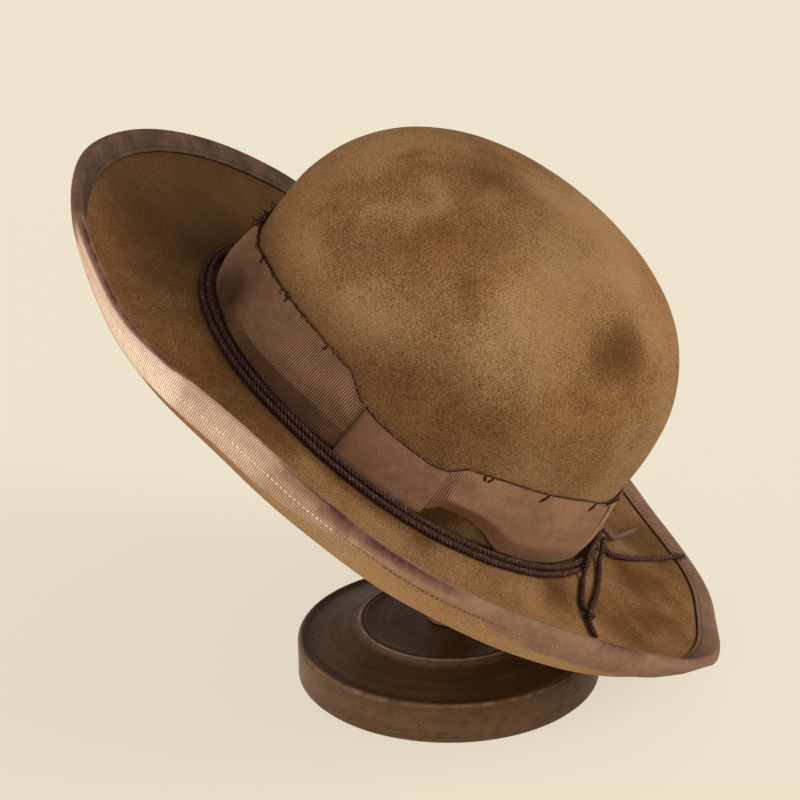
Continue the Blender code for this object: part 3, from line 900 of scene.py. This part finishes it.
def cord_mesh(line, thickness):
    """Three strands twisted together along a line of points, as one closed tube."""
    count = max(8, round(length_of(line) / CORD_STEP))
    spots = [through(line, i / count) for i in range(count + 1)]
    ring = bpy.data.curves.new("strands", "CURVE")
    ring.dimensions = "2D"
    edge = ring.splines.new("POLY")
    edge.points.add(17)
    edge.use_cyclic_u = True
    for i, point in enumerate(edge.points):
        turn = tau * i / 18
        reach = thickness / 2 * (0.74 + 0.26 * abs(cos(1.5 * turn)))
        point.co = (reach * cos(turn), reach * sin(turn), 0, 1)
    bevel = placed("strands", ring)
    curve = bpy.data.curves.new("cord", "CURVE")
    curve.dimensions = "3D"
    curve.bevel_mode = "OBJECT"
    curve.bevel_object = bevel
    curve.use_fill_caps = True
    spline = curve.splines.new("POLY")
    spline.points.add(count)
    gone = 0.0
    for i, (point, spot) in enumerate(zip(spline.points, spots)):
        if i:
            gone += (spot - spots[i - 1]).length
        point.co = (*spot, 1)
        point.tilt = tau * (gone / CORD_LAY % 1)
    bm = solid_of_curve(curve, "cord")
    bpy.data.objects.remove(bevel)
    bpy.data.curves.remove(ring)
    near = kdtree.KDTree(len(spots))
    for i, spot in enumerate(spots):
        near.insert(spot, i)
    near.balance()
    ridge = bm.verts.layers.float.new("ridge")
    low, high = 0.74 * thickness / 2, thickness / 2
    for vert in bm.verts:
        far = near.find(vert.co)[2]
        vert[ridge] = min(1.0, max(0.0, (far - low) / (high - low)))
    return bm, spots


def cord_piece(name, line, look, thickness=CORD, tail=()):
    bm, spots = cord_mesh(line, thickness)
    piece = finish_piece(bm, name, look, "dark_cord", [name, *tail])
    return piece, [HAT_PLACE @ spot for spot in spots]


def cord_turn(name, place, look):
    """One turn round the hat, which wanders a little where it lies."""
    start, end = KNOT["angle"] + KNOT_REACH - 2.0, KNOT["angle"] + 360 - KNOT_REACH + 2.0
    line = []
    for angle in spread(start, end, 121):
        stray = 0.00035 * noise(Vector((angle / 14, place["out"] * 900, 0)))
        line.append(brim_point(angle, place["out"] + stray, place["lift"]))
    cord_piece(name, line, look)


def free_cord(name, route, look, far_end="bare", tail=(), tied=()):
    line = [brim_point(angle, out / 1000, lift / 1000) for angle, out, lift in route]
    piece, spots = cord_piece(name, line, look, tail=tail)
    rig.cord(
        piece,
        exit=spots[0],
        length=round(length_of(spots), 4),
        diameter=CORD,
        far_end=far_end,
        stiffness="limp",
        lay="loose",
        path=spots,
        with_pieces=list(tied),
    )


def tied_knot(name, place, size, look, thickness):
    """An overhand knot, pulled tight in the room that its CAD lump takes."""
    out = oval_normal(place["angle"])
    along = Vector((0, 0, 1)).cross(out)
    turn = Matrix((out, along, (0, 0, 1))).transposed()
    middle = brim_point(**place)
    room = [(side - thickness) / 2 for side in size]
    line = []
    for i in range(61):
        t = tau * i / 60
        x = room[0] * (sin(t) + 2 * sin(2 * t)) / 2.8
        y = room[1] * (cos(t) - 2 * cos(2 * t)) / 2.8
        line.append(middle + turn @ Vector((x, y, -room[2] * sin(3 * t))))
    return cord_piece(name, line, look, thickness)[0]


def thread_piece(name, lines, radius, look, slot="dark_cord"):
    """Fine threads, each along its own few points."""
    curve = bpy.data.curves.new(name, "CURVE")
    curve.dimensions = "3D"
    curve.bevel_depth = radius
    curve.bevel_resolution = 1
    curve.use_fill_caps = True
    for line in lines:
        count = max(2, 3 * (len(line) - 1))
        spline = curve.splines.new("POLY")
        spline.points.add(count)
        for i, point in enumerate(spline.points):
            point.co = (*through(line, i / count), 1)
            point.radius = 1.0 - 0.35 * i / count
    bm = solid_of_curve(curve, name)
    finish_piece(bm, name, look, slot)


# Felt and ribbons


def felt_levels():
    levels = [("dome", 90 - 2.5 * i) for i in range(37)]
    levels += [("side", WAIST_HEIGHT - 0.0025 * i) for i in range(1, 15)]
    levels += [("foot", turn) for turn in (22.5, 45, 67.5)]
    levels += [("brim", i / 34) for i in range(35)]
    return levels


def felt_place(angle, level):
    zone, at = level
    if zone == "dome":
        return dome_point(angle, at)
    if zone == "side":
        return side_point(angle, at, 0)
    if zone == "foot":
        return foot_point(angle, at)
    return brim_point(angle, FOOT_FILLET + (brim_width(angle) - FOOT_FILLET) * at, 0)


def make_felt(look):
    """Crown and brim from one disc of rings, a little uneven."""
    levels, stations = felt_levels(), 240
    bm, spots = cloth_round(
        len(levels),
        stations,
        lambda angle, level: felt_place(angle, levels[level]),
        lambda angle, level: (angle / 360, level / len(levels)),
    )
    paint_stains_and_light(bm, FELT_STAINS_AND_PAINTED_LIGHT)
    shade_brim(bm, spots, levels)
    close_round(bm)
    for vert in bm.verts:
        up = fade(vert.co.z, 0.045, 0.065)
        if up > 0:
            uneven = 0.5 + 0.5 * noise(vert.co * 21) + 0.3 * noise(vert.co * 60)
            vert.co += vert.normal * 0.0007 * up * max(0.0, uneven)
    thicken(finish_piece(bm, "felt", look, "tan_felt", ["felt_body"]), FELT_WALL)


def shade_brim(bm, spots, levels):
    """Painted shade, with some dirt, under the band, beside the cord and over the brim's left, and the felt by the
    near rim is paler.
    """
    dark = bm.verts.layers.float["dark"]
    for vert, (angle, level) in spots.items():
        zone, at = levels[level]
        out = FOOT_FILLET + (brim_width(angle) - FOOT_FILLET) * at if zone == "brim" else 0.0
        # painted shade in the crown's foot and under the band, with some dirt
        if zone == "foot" or out and out < 0.008:
            vert[dark] = max(vert[dark], 0.85)
        elif out:
            # painted shade beside the cord, strongest on the near left
            near = stretch(angle, 198, 215, 262, 290)
            beside = (1 - fade(out, 0.008, 0.021)) * (0.35 + 0.50 * near)
            # darker from the far side round the front: painted shade of the crown, with some dirt
            left = 0.5 * stretch(angle, 60, 100, 225, 250)
            left += 0.40 * stretch(angle, 85, 110, 162, 182)
            vert[dark] = 1 - (1 - max(vert[dark], beside)) * (1 - left)
            rim = fade(out, brim_width(angle) - 0.032, brim_width(angle) - 0.016)
            low = stretch(angle, 215, 235, 322, 340)
            vert[dark] -= 0.35 * rim * low


def make_binding(look):
    """A ribbed ribbon folded over the rim, drawn down along its seams."""
    face = CLOTH_FACE
    fold = FELT_WALL / 2 + face
    section = [(-BINDING_WIDTH, face - 0.0004), (-0.0098, face - 0.0002), (-0.0088, face - 0.0003)]
    section += [(-0.0076, face), (-0.005, face + 0.0001), (-0.002, face)]
    for i in range(1, 8):
        turn = radians(90 - 180 * i / 8)
        bulge = cos(turn) ** 0.7
        section.append((face * bulge, -FELT_WALL / 2 + fold * sin(turn)))
    under = ((-0.0015, 0), (-0.003, 0.0001), (-0.0044, 0), (-0.0051, -0.0003))
    under += ((-0.0057, -0.0002), (-0.0062, -0.0005))
    section += [(out, -FELT_WALL - face - lift) for out, lift in under]
    stations = 2 * round(RIM_LENGTH / BINDING_RIB_PITCH)

    def place(angle, level):
        out, lift = section[level]
        if level > 12:
            left = fade(angle, 180, 200) - fade(angle, 242, 264)
            out *= 0.85 + 1.3 * left + 0.85 * (fade(angle, 276, 292) - fade(angle, 345, 358))
        rib = 0.0001 * (1 if round(angle / 360 * stations) % 2 else -1)
        side = 1 if level < 6 else -1 if level > 12 else 0
        if side == 0:
            out += rib
        return brim_point(angle, brim_width(angle) + out, lift + side * rib)

    def chart(angle, level):
        return (angle / 360 * stations / 2 * BINDING_RIB_PITCH, level / (len(section) - 1))

    bm, spots = cloth_round(len(section), stations, place, chart)
    mark_binding_wear_and_light(bm, spots)
    close_round(bm)
    piece = ribbon_piece(bm, "binding", look, "brim_binding")
    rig.sheet(piece, flat=(0.023, 1.107), held="folded", rests_on=["felt"])


def mark_binding_wear_and_light(bm, spots):
    """The fold is darkened by rubbing in places, stretches from the table take painted shade or a painted pale
    highlight, and the upper seam is dark with dirt and painted shadow.
    """
    dark, red = bm.verts.layers.float["dark"], bm.verts.layers.float["red"]
    soft = bm.verts.layers.float["soft"]
    for vert, (angle, level) in spots.items():
        vert[soft] = max(fade(angle, 255, 278), 1 - fade(angle, 10, 90))
        undarkened, blush, painted_pale = 1.0, 0.0, 0.0
        for start, end, middle, reach, soil_and_shade, rust in BINDING_WEAR_AND_LIGHT:
            inside = stretch(angle, start - 4, start + 3, end - 3, end + 4)
            worn_and_painted_light = soil_and_shade * inside * exp(-(((level - middle) / reach) ** 2))
            undarkened *= 1 - max(0.0, worn_and_painted_light)
            painted_pale = min(painted_pale, worn_and_painted_light)
            blush = max(blush, rust * min(1.0, 3 * worn_and_painted_light))
        ragged = noise(vert.co * 90) + 0.6 * noise(vert.co * 400)
        worn_and_painted_light = (1 - undarkened) * (1 + ragged * (0.2 + 0.35 * blush))
        # painted shadow and dirt along the binding's inner seam
        seam = 0.5 * exp(-((level / 1.6) ** 2))
        vert[dark] = max(worn_and_painted_light, seam) if max(worn_and_painted_light, seam) > 0.12 else painted_pale
        vert[red] = blush


def torn_edge(angle):
    """The height of the band's upper edge, which is torn left of the wrap."""
    torn = stretch(angle, 148, 154, 275, 279)
    ragged = 0.0011 * noise(Vector((angle * 0.9, 3, 0)))
    ragged += 0.0007 * noise(Vector((angle * 2.7, 8, 0)))
    return band_height(angle, 1.0) + torn * ragged


def make_band(look):
    """The ribbon round the crown, creased, and pinched at the wrap."""
    ups = [0, 0.04, 0.1, 0.17, 0.24, 0.265, 0.275, 0.3, 0.36, 0.43]
    ups += [0.5, 0.58, 0.67, 0.76, 0.85, 0.93, 0.98, 1.0]
    ups.reverse()
    ribs = round(FOOT_LENGTH / RIB_PITCH)
    stations = 3 * ribs

    def place(angle, level):
        up = ups[level]
        rib = RIB_DEPTH * 0.5 * cos(radians(angle) * ribs)
        gather = exp(-(((angle - 243) / 5) ** 2)) + exp(-(((angle - 279) / 5) ** 2))
        pleat = 0.0007 * gather * sin(9 * up + angle / 9) * up * (1 - up) * 4
        risen = 0.11 * stretch(angle, 214, 246, 249, 252)
        risen *= up / 0.27 if up < 0.27 else (1 - up) / 0.73
        high = torn_edge(angle) if up == 1.0 else band_height(angle, up + risen)
        return side_point(angle, high, band_off(angle, up) + rib + pleat)

    def chart(angle, level):
        return (angle / 360 * ribs * RIB_PITCH, ups[level] * BAND_WIDTH)

    bm, spots = cloth_round(len(ups), stations, place, chart)
    paint_stains_and_light(bm, BAND_STAINS_AND_SHADE)
    dark, soft = bm.verts.layers.float["dark"], bm.verts.layers.float["soft"]
    for vert, (angle, level) in spots.items():
        vert[soft] = max(fade(angle, 268, 282), 1 - fade(angle, 20, 120))
        up = ups[level]
        # painted shade below the crease left of the wrap, and a painted highlight along it
        crease = stretch(angle, 206, 220, 249, 253)
        if up < 0.27:
            vert[dark] = max(vert[dark], 0.5 * crease)
        elif up < 0.34:
            vert[dark] -= 0.15 * crease
        elif up > 0.985:
            vert[dark] = max(vert[dark], 0.6)
    close_round(bm)
    piece = ribbon_piece(bm, "band", look, "ribbon_band")
    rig.sheet(piece, flat=(BAND_WIDTH, 0.62), held="gathered", rests_on=["felt"])


def make_wrap(look):
    """A short ribbon across the narrow of the band, its ribs along the band."""
    bm = bmesh.new()
    bmesh.ops.create_grid(bm, x_segments=16, y_segments=3 * WRAP_RIBS, size=0.5)
    for soil_and_shade in ("dark", "red"):
        bm.verts.layers.float.new(soil_and_shade)
    cloth = bm.loops.layers.uv.new("cloth")
    for face in bm.faces:
        for corner in face.loops:
            across, up = corner.vert.co.x + 0.5, corner.vert.co.y + 0.5
            corner[cloth].uv = (across * 0.034, up * WRAP_RIBS * RIB_PITCH)
    off = wrap_off()
    for vert in bm.verts:
        across, up = vert.co.x + 0.5, vert.co.y + 0.5
        angle = WRAP_START + (WRAP_END - WRAP_START) * across
        rib = RIB_DEPTH * 0.5 * cos(tau * up * WRAP_RIBS)
        bow = 0.0004 * cos(pi * (across - 0.5)) + WRAP_SWELL * level_share(WRAP_LEVELS, up)
        vert.co = side_point(angle, band_height(angle, up, WRAP_OVERLAP), off + bow + rib)
    bm.normal_update()
    spot = side_point(261, 0.015, off)
    middle = min(bm.faces, key=lambda face: (face.calc_center_median() - spot).length)
    if middle.normal.dot(oval_normal(261)) < 0:
        bmesh.ops.reverse_faces(bm, faces=bm.faces)
    # painted shadow along the top edge, where the wrap meets the crown
    dark = bm.verts.layers.float["dark"]
    for vert in bm.verts:
        angle = degrees(atan2(vert.co.y / CROWN_WIDTH, vert.co.x / CROWN_LENGTH)) % 360
        if vert.co.z > band_height(angle, 0.98, WRAP_OVERLAP):
            vert[dark] = 0.8
    piece = ribbon_piece(bm, "wrap", look, "bow_wrap")
    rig.sheet(piece, flat=(0.036, 0.034), held="folded", rests_on=["band"])


# Stitches and loose threads


def stitch_row(name, count, out, lift, size, look, slot="dark_cord", spans=((0, 360),)):
    """Short stitches round the brim, out from the rim and off its top face, in spans of angle."""
    length, thick = size
    lines = []
    for i in range(count):
        angle = 360 * (i + 0.5) / count
        if not any(start <= angle < end for start, end in spans):
            continue
        spot = brim_point(angle, brim_width(angle) + out, lift)
        ahead = brim_point(angle + 0.4, brim_width(angle + 0.4) + out, lift) - spot
        over = brim_point(angle, brim_width(angle) + out, lift + 0.0004) - spot
        ahead = ahead.normalized() * length / 2
        lift_off = over if lift > 0 else -over
        lines.append([spot - ahead - lift_off, spot + lift_off * 0.4, spot + ahead - lift_off])
    thread_piece(name, lines, thick / 2, look, slot)


def binding_seam(look):
    """The dark line along the binding's inner edge, where it is sewn to the felt: a thin thread for its dirt and
    painted shadow.
    """
    line = []
    for i in range(361):
        stray = 0.00025 * noise(Vector((i / 2.3, 0, 5)))
        line.append(brim_point(i, brim_width(i) - BINDING_WIDTH - 0.0001 + stray, 0.0003))
    thread_piece("binding_seam", [line], 0.00028, look)


def band_edge_threads(look):
    """The dark, frayed thread along the band's torn upper edge, and a dark line over the wrap's top edge as painted
    shadow.
    """
    rng = random.Random(7)
    edge, wrapped, right = [], [], []
    for angle in spread(150, 277.5, 260):
        high = torn_edge(angle) + 0.0004 * rng.uniform(-1, 1)
        edge.append(side_point(angle, high, band_off(angle, 1.0) - 0.0004 + 0.0004 * rng.random()))
    # a dark line over the wrap's top edge: painted shadow where the wrap meets the crown
    over = wrap_off() + 0.0004
    for angle in spread(WRAP_START, WRAP_END, 60):
        high = band_height(angle, 1.0, WRAP_OVERLAP) + 0.0003 * rng.uniform(-0.6, 1.0)
        wrapped.append(side_point(angle, high, over - 0.0003 * rng.random()))
    for angle in spread(279, 335, 110):
        high = band_height(angle, 1.0) + 0.0002 * rng.uniform(-1, 1)
        right.append(side_point(angle, high, band_off(angle, 1.0) - 0.0002))
    thread_piece("band_edge_thread", [edge, wrapped, right], 0.00034, look)
    left = ((176, 0.004), (189, 0.003), (196.5, 0.004), (205, 0.002), (214, 0.004), (221, 0.002))
    bits = [frayed_bit(rng, angle, reach) for angle, reach in left]
    for i in range(16):  # the tangle at the far left
        bits.append(frayed_bit(rng, 156 + 1.3 * i, 0.001 - 0.007 * rng.random(), 0.0045))
    for i in range(8):
        bits.append(frayed_bit(rng, 327 + 1.5 * i, 0.003 + 0.003 * rng.random()))
    thread_piece("frayed_bits", bits, 0.00022, look)


def frayed_bit(rng, angle, reach, away=0.0015):
    """A loose thread that curls off the upper edge of the band."""
    line = []
    for i in range(5):
        t = i / 4
        high = band_height(angle, 1.0) - 0.0012 + reach * t * rng.uniform(0.5, 1.0)
        turned = angle + rng.uniform(-0.9, 0.9) * t * 2
        line.append(side_point(turned, high, 0.0016 + away * t * rng.random()))
    return line


def whip_stitches(look):
    """Coarse stitches over the band's upper edge, right of the wrap."""
    strokes = (
        # angle and height below the edge, from and to
        ((281.6, -0.0004), (282.4, -0.0032)),
        ((282.4, -0.0034), (283.9, -0.0002)),
        ((299.0, -0.0044), (301.0, -0.0002)),
        ((319.0, -0.0044), (320.8, -0.0002)),
    )
    lines = []
    for (first, low), (last, high) in strokes:
        line = []
        for i in range(4):
            t = i / 3
            angle = first + (last - first) * t
            height = band_height(angle, 1.0) + low + (high - low) * t
            line.append(side_point(angle, height, band_off(angle, 0.95) + 0.0005 * sin(pi * t)))
        lines.append(line)
    thread_piece("whip_stitches", lines, 0.0007, look)


def band_end(look):
    """The rolled end of the band, which lies over its start by the knot."""
    line = []
    for i in range(9):
        angle = 331.5 + 1.2 * sin(i / 2.2)
        off = band_off(angle, 0.9 - 0.05 * i) + 0.0002
        line.append(side_point(angle, band_height(angle, 0.97 - 0.06 * i), off))
    thread_piece("band_end", [line], 0.0006, look, "brown_ribbon")


def long_nicks(look):
    """Three crooked threads that run down from the torn edge."""
    routes = (
        ((231.4, 0.0), (231.9, -0.0014), (231.2, -0.0022), (231.6, -0.0040)),
        ((213.6, 0.0002), (214.3, -0.0012), (213.9, -0.0024)),
        ((196.2, 0.0002), (196.9, -0.0015), (196.5, -0.0030)),
    )
    lines = [
        [side_point(a, band_height(a, 1.0) + low, band_off(a, 1.0) + 0.0007) for a, low in route]
        for route in routes
    ]
    thread_piece("nicks", lines, 0.0004, look)


# Stand


def turned_piece(name, outline, steps, look, node, edges):
    """Turns an outline of radius and height, and marks its edges lightened by rubbing and as painted highlight lines.
    """
    bm = bmesh.new()
    row = [bm.verts.new((radius, 0, height)) for radius, height in outline]
    line = [bm.edges.new(pair) for pair in zip(row, row[1:])]
    bmesh.ops.spin(bm, geom=row + line, axis=(0, 0, 1), angle=tau, steps=steps, use_merge=True)
    bmesh.ops.remove_doubles(bm, verts=bm.verts, dist=1e-6)
    bmesh.ops.recalc_face_normals(bm, faces=bm.faces)
    wear_and_highlight = bm.verts.layers.float.new("wear_and_highlight")
    for vert in bm.verts:
        spot = Vector((vert.co.xy.length, vert.co.z))
        rubbed_and_lit = 0.0
        for at, size, worn_and_painted_light in edges:
            far = (spot - Vector(at)).length / size
            rubbed_and_lit = max(rubbed_and_lit, worn_and_painted_light * exp(-far * far))
        vert[wear_and_highlight] = rubbed_and_lit * (0.75 + 0.5 * noise(vert.co * 40))
    finish_piece(bm, name, look, "dark_wood", [node], place=None, sharp=50)


def rounded(middle, size, steps):
    turns = [radians(turn) for turn in spread(0, 90, steps + 1)]
    return [(middle[0] + size[0] * cos(t), middle[1] + size[1] * sin(t)) for t in turns]


def between(one, other, steps):
    return list(zip(*(spread(a, b, steps + 1)[1:-1] for a, b in zip(one, other))))


def make_base(look):
    """A thick disc, a sloping ring and a raised tier with a bead."""
    edge = (BASE_RADIUS - BASE_ROUND, BASE_HEIGHT - BASE_ROUND)
    ring_low = (BASE_RADIUS - 2 * BASE_ROUND, BASE_HEIGHT - RING_DISH)
    ring_high = (TIER_RADIUS + 0.0012, TIER_HEIGHT - TIER_STEP)
    bead = (TIER_RADIUS - 0.0012, TIER_HEIGHT - 0.0012)
    low, high = (BASE_RADIUS, BASE_ROUND / 2), (BASE_RADIUS, BASE_HEIGHT - BASE_ROUND)
    outline = [(0, 0), (BASE_RADIUS * 0.6, 0), (BASE_RADIUS - BASE_ROUND / 2, 0), low]
    outline += between(low, high, 8)
    outline += rounded(edge, (BASE_ROUND, BASE_ROUND), 6)
    outline += [(BASE_RADIUS - 1.6 * BASE_ROUND, BASE_HEIGHT - RING_DISH * 0.6), ring_low]
    outline += between(ring_low, ring_high, 10)
    outline += [ring_high, (TIER_RADIUS + 0.0003, ring_high[1] + 0.0003)]
    outline += [(TIER_RADIUS, ring_high[1] + 0.0010)]
    outline += rounded(bead, (0.0012, 0.0012), 5)
    for out, down in ((0.0020, 0.0007), (0.0028, 0.0003), (0.0036, 0.0004), (0.0042, 0.0008)):
        outline.append((TIER_RADIUS - out, TIER_HEIGHT - down))
    outline += between(outline[-1], (0, TIER_HEIGHT - 0.0008), 8) + [(0, TIER_HEIGHT - 0.0008)]
    edges = (
        # radius and height, how wide and how much lightened: rubbing, with painted highlight lines on the top edge and
        # the bead
        ((BASE_RADIUS - 0.0008, BASE_HEIGHT - 0.0006), 0.0009, 0.7),
        ((TIER_RADIUS - 0.0006, TIER_HEIGHT), 0.0007, 1.0),
        ((TIER_RADIUS + 0.0010, TIER_HEIGHT - TIER_STEP), 0.0010, 0.3),
        ((BASE_RADIUS, 0.010), 0.009, 0.14),
    )
    turned_piece("base", outline, 256, look, "stand_base", edges)


def make_post(look):
    """The post, and the plain domed rest inside the crown that it carries."""
    rest_low, rest_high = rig.box("stand_post")
    top, foot = rest_high.z, rest_low.z
    rim, reach = top - 0.012, 0.040
    outline = [(0, foot), (POST_RADIUS - 0.0008, foot), (POST_RADIUS, foot + 0.0008)]
    outline += between(outline[-1], (POST_RADIUS, rim - 0.022), 10)
    outline += [(POST_RADIUS, rim - 0.022), (POST_RADIUS * 1.08, rim - 0.016)]
    outline += [(POST_RADIUS * 1.3, rim - 0.011), (reach * 0.55, rim - 0.0055)]
    outline.append((reach * 0.8, rim - 0.00275))
    outline += rounded((0, rim), (reach, 0.012), 14)
    edges = (((POST_RADIUS, foot), 0.012, 0.8),)
    turned_piece("post", outline, 96, look, "stand_post", edges)


def dress_hat():
    nap = nap_group()
    dark_yarn = cord_look(nap, "dark_cord", (0.014, 0.006, 0.005), (0.082, 0.037, 0.030))
    faded_yarn = cord_look(nap, "faded_cord", (0.050, 0.024, 0.018), (0.190, 0.100, 0.078))
    dark_thread = plain_thread_look("dark_thread", (0.040, 0.016, 0.011))
    pale_thread = plain_thread_look("pale_thread", (0.28, 0.19, 0.105))
    white_thread = plain_thread_look("white_thread", (0.80, 0.66, 0.48))
    brown_thread = plain_thread_look("brown_thread", (0.16, 0.088, 0.055))
    cord_turn("cord_turn_upper", UPPER_TURN, dark_yarn)
    cord_turn("cord_turn_lower", LOWER_TURN, dark_yarn)
    tied_knot("cord_knot", KNOT, KNOT_SIZE, dark_yarn, 0.0024)
    small = tied_knot("cord_loop_knot", LOOP_KNOT, LOOP_KNOT_SIZE, dark_yarn, 0.0021)
    free_cord("cord_loop_left", LOOP_LEFT, dark_yarn, "knot", tied=[small])
    free_cord("cord_loop_right", LOOP_RIGHT, dark_yarn, tail=["cord_loop_tail"])
    free_cord("cord_end_long", END_LONG, dark_yarn)
    free_cord("cord_end_short", END_SHORT, faded_yarn)
    make_felt(felt_look(nap))
    tone = (0.450, 0.245, 0.140)
    make_binding(ribbon_look(nap, "binding_ribbon", (0.38, 0.21, 0.128), 0, BINDING_RIB_PITCH, 0.6))
    # the band is the wrap's ribbon painted a tenth lighter, as painted light
    make_band(ribbon_look(nap, "band_ribbon", scaled(tone, 1.1), 0, RIB_PITCH, 0.95))
    make_wrap(ribbon_look(nap, "wrap_ribbon", tone, 1, RIB_PITCH, 0.95))
    stitch_row("top_stitches", 420, -0.0082, CLOTH_FACE, (0.0008, 0.0004), dark_thread)
    under = -FELT_WALL - CLOTH_FACE
    size = (0.0013, 0.0008)
    # one thread in lit and shaded copies: white where the near left's underside is painted pale, pale and brown where
    # less light falls
    for name, thread, spans in (
        ("white_stitches", white_thread, ((186, 256),)),
        ("pale_stitches", pale_thread, ((256, 264), (286, 340))),
        ("brown_stitches", brown_thread, ((0, 186), (264, 286), (340, 360))),
    ):
        stitch_row(name, 470, -0.0051, under, size, thread, "brown_ribbon", spans)
    binding_seam(dark_thread)
    band_edge_threads(dark_thread)
    whip_stitches(dark_thread)
    band_end(pale_thread)
    long_nicks(dark_thread)


def dress_stand():
    stain, wood, rubbed_and_lit = (0.036, 0.018, 0.0075), (0.15, 0.074, 0.032), (0.36, 0.2, 0.12)
    make_base(wood_look("dark_wood", stain, wood, rubbed_and_lit))
    stain, wood, rubbed_and_lit = (0.045, 0.022, 0.01), (0.17, 0.09, 0.04), (0.32, 0.19, 0.1)
    make_post(wood_look("post_wood", stain, wood, rubbed_and_lit))


set_camera()
set_stage()
dress_hat()
dress_stand()
with open("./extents.json", "w") as sizes:
    boxes = {"cad": [list(corner) for corner in cad_box]}
    boxes["visual"] = [list(corner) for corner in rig.bounds()]
    json.dump(boxes, sizes)
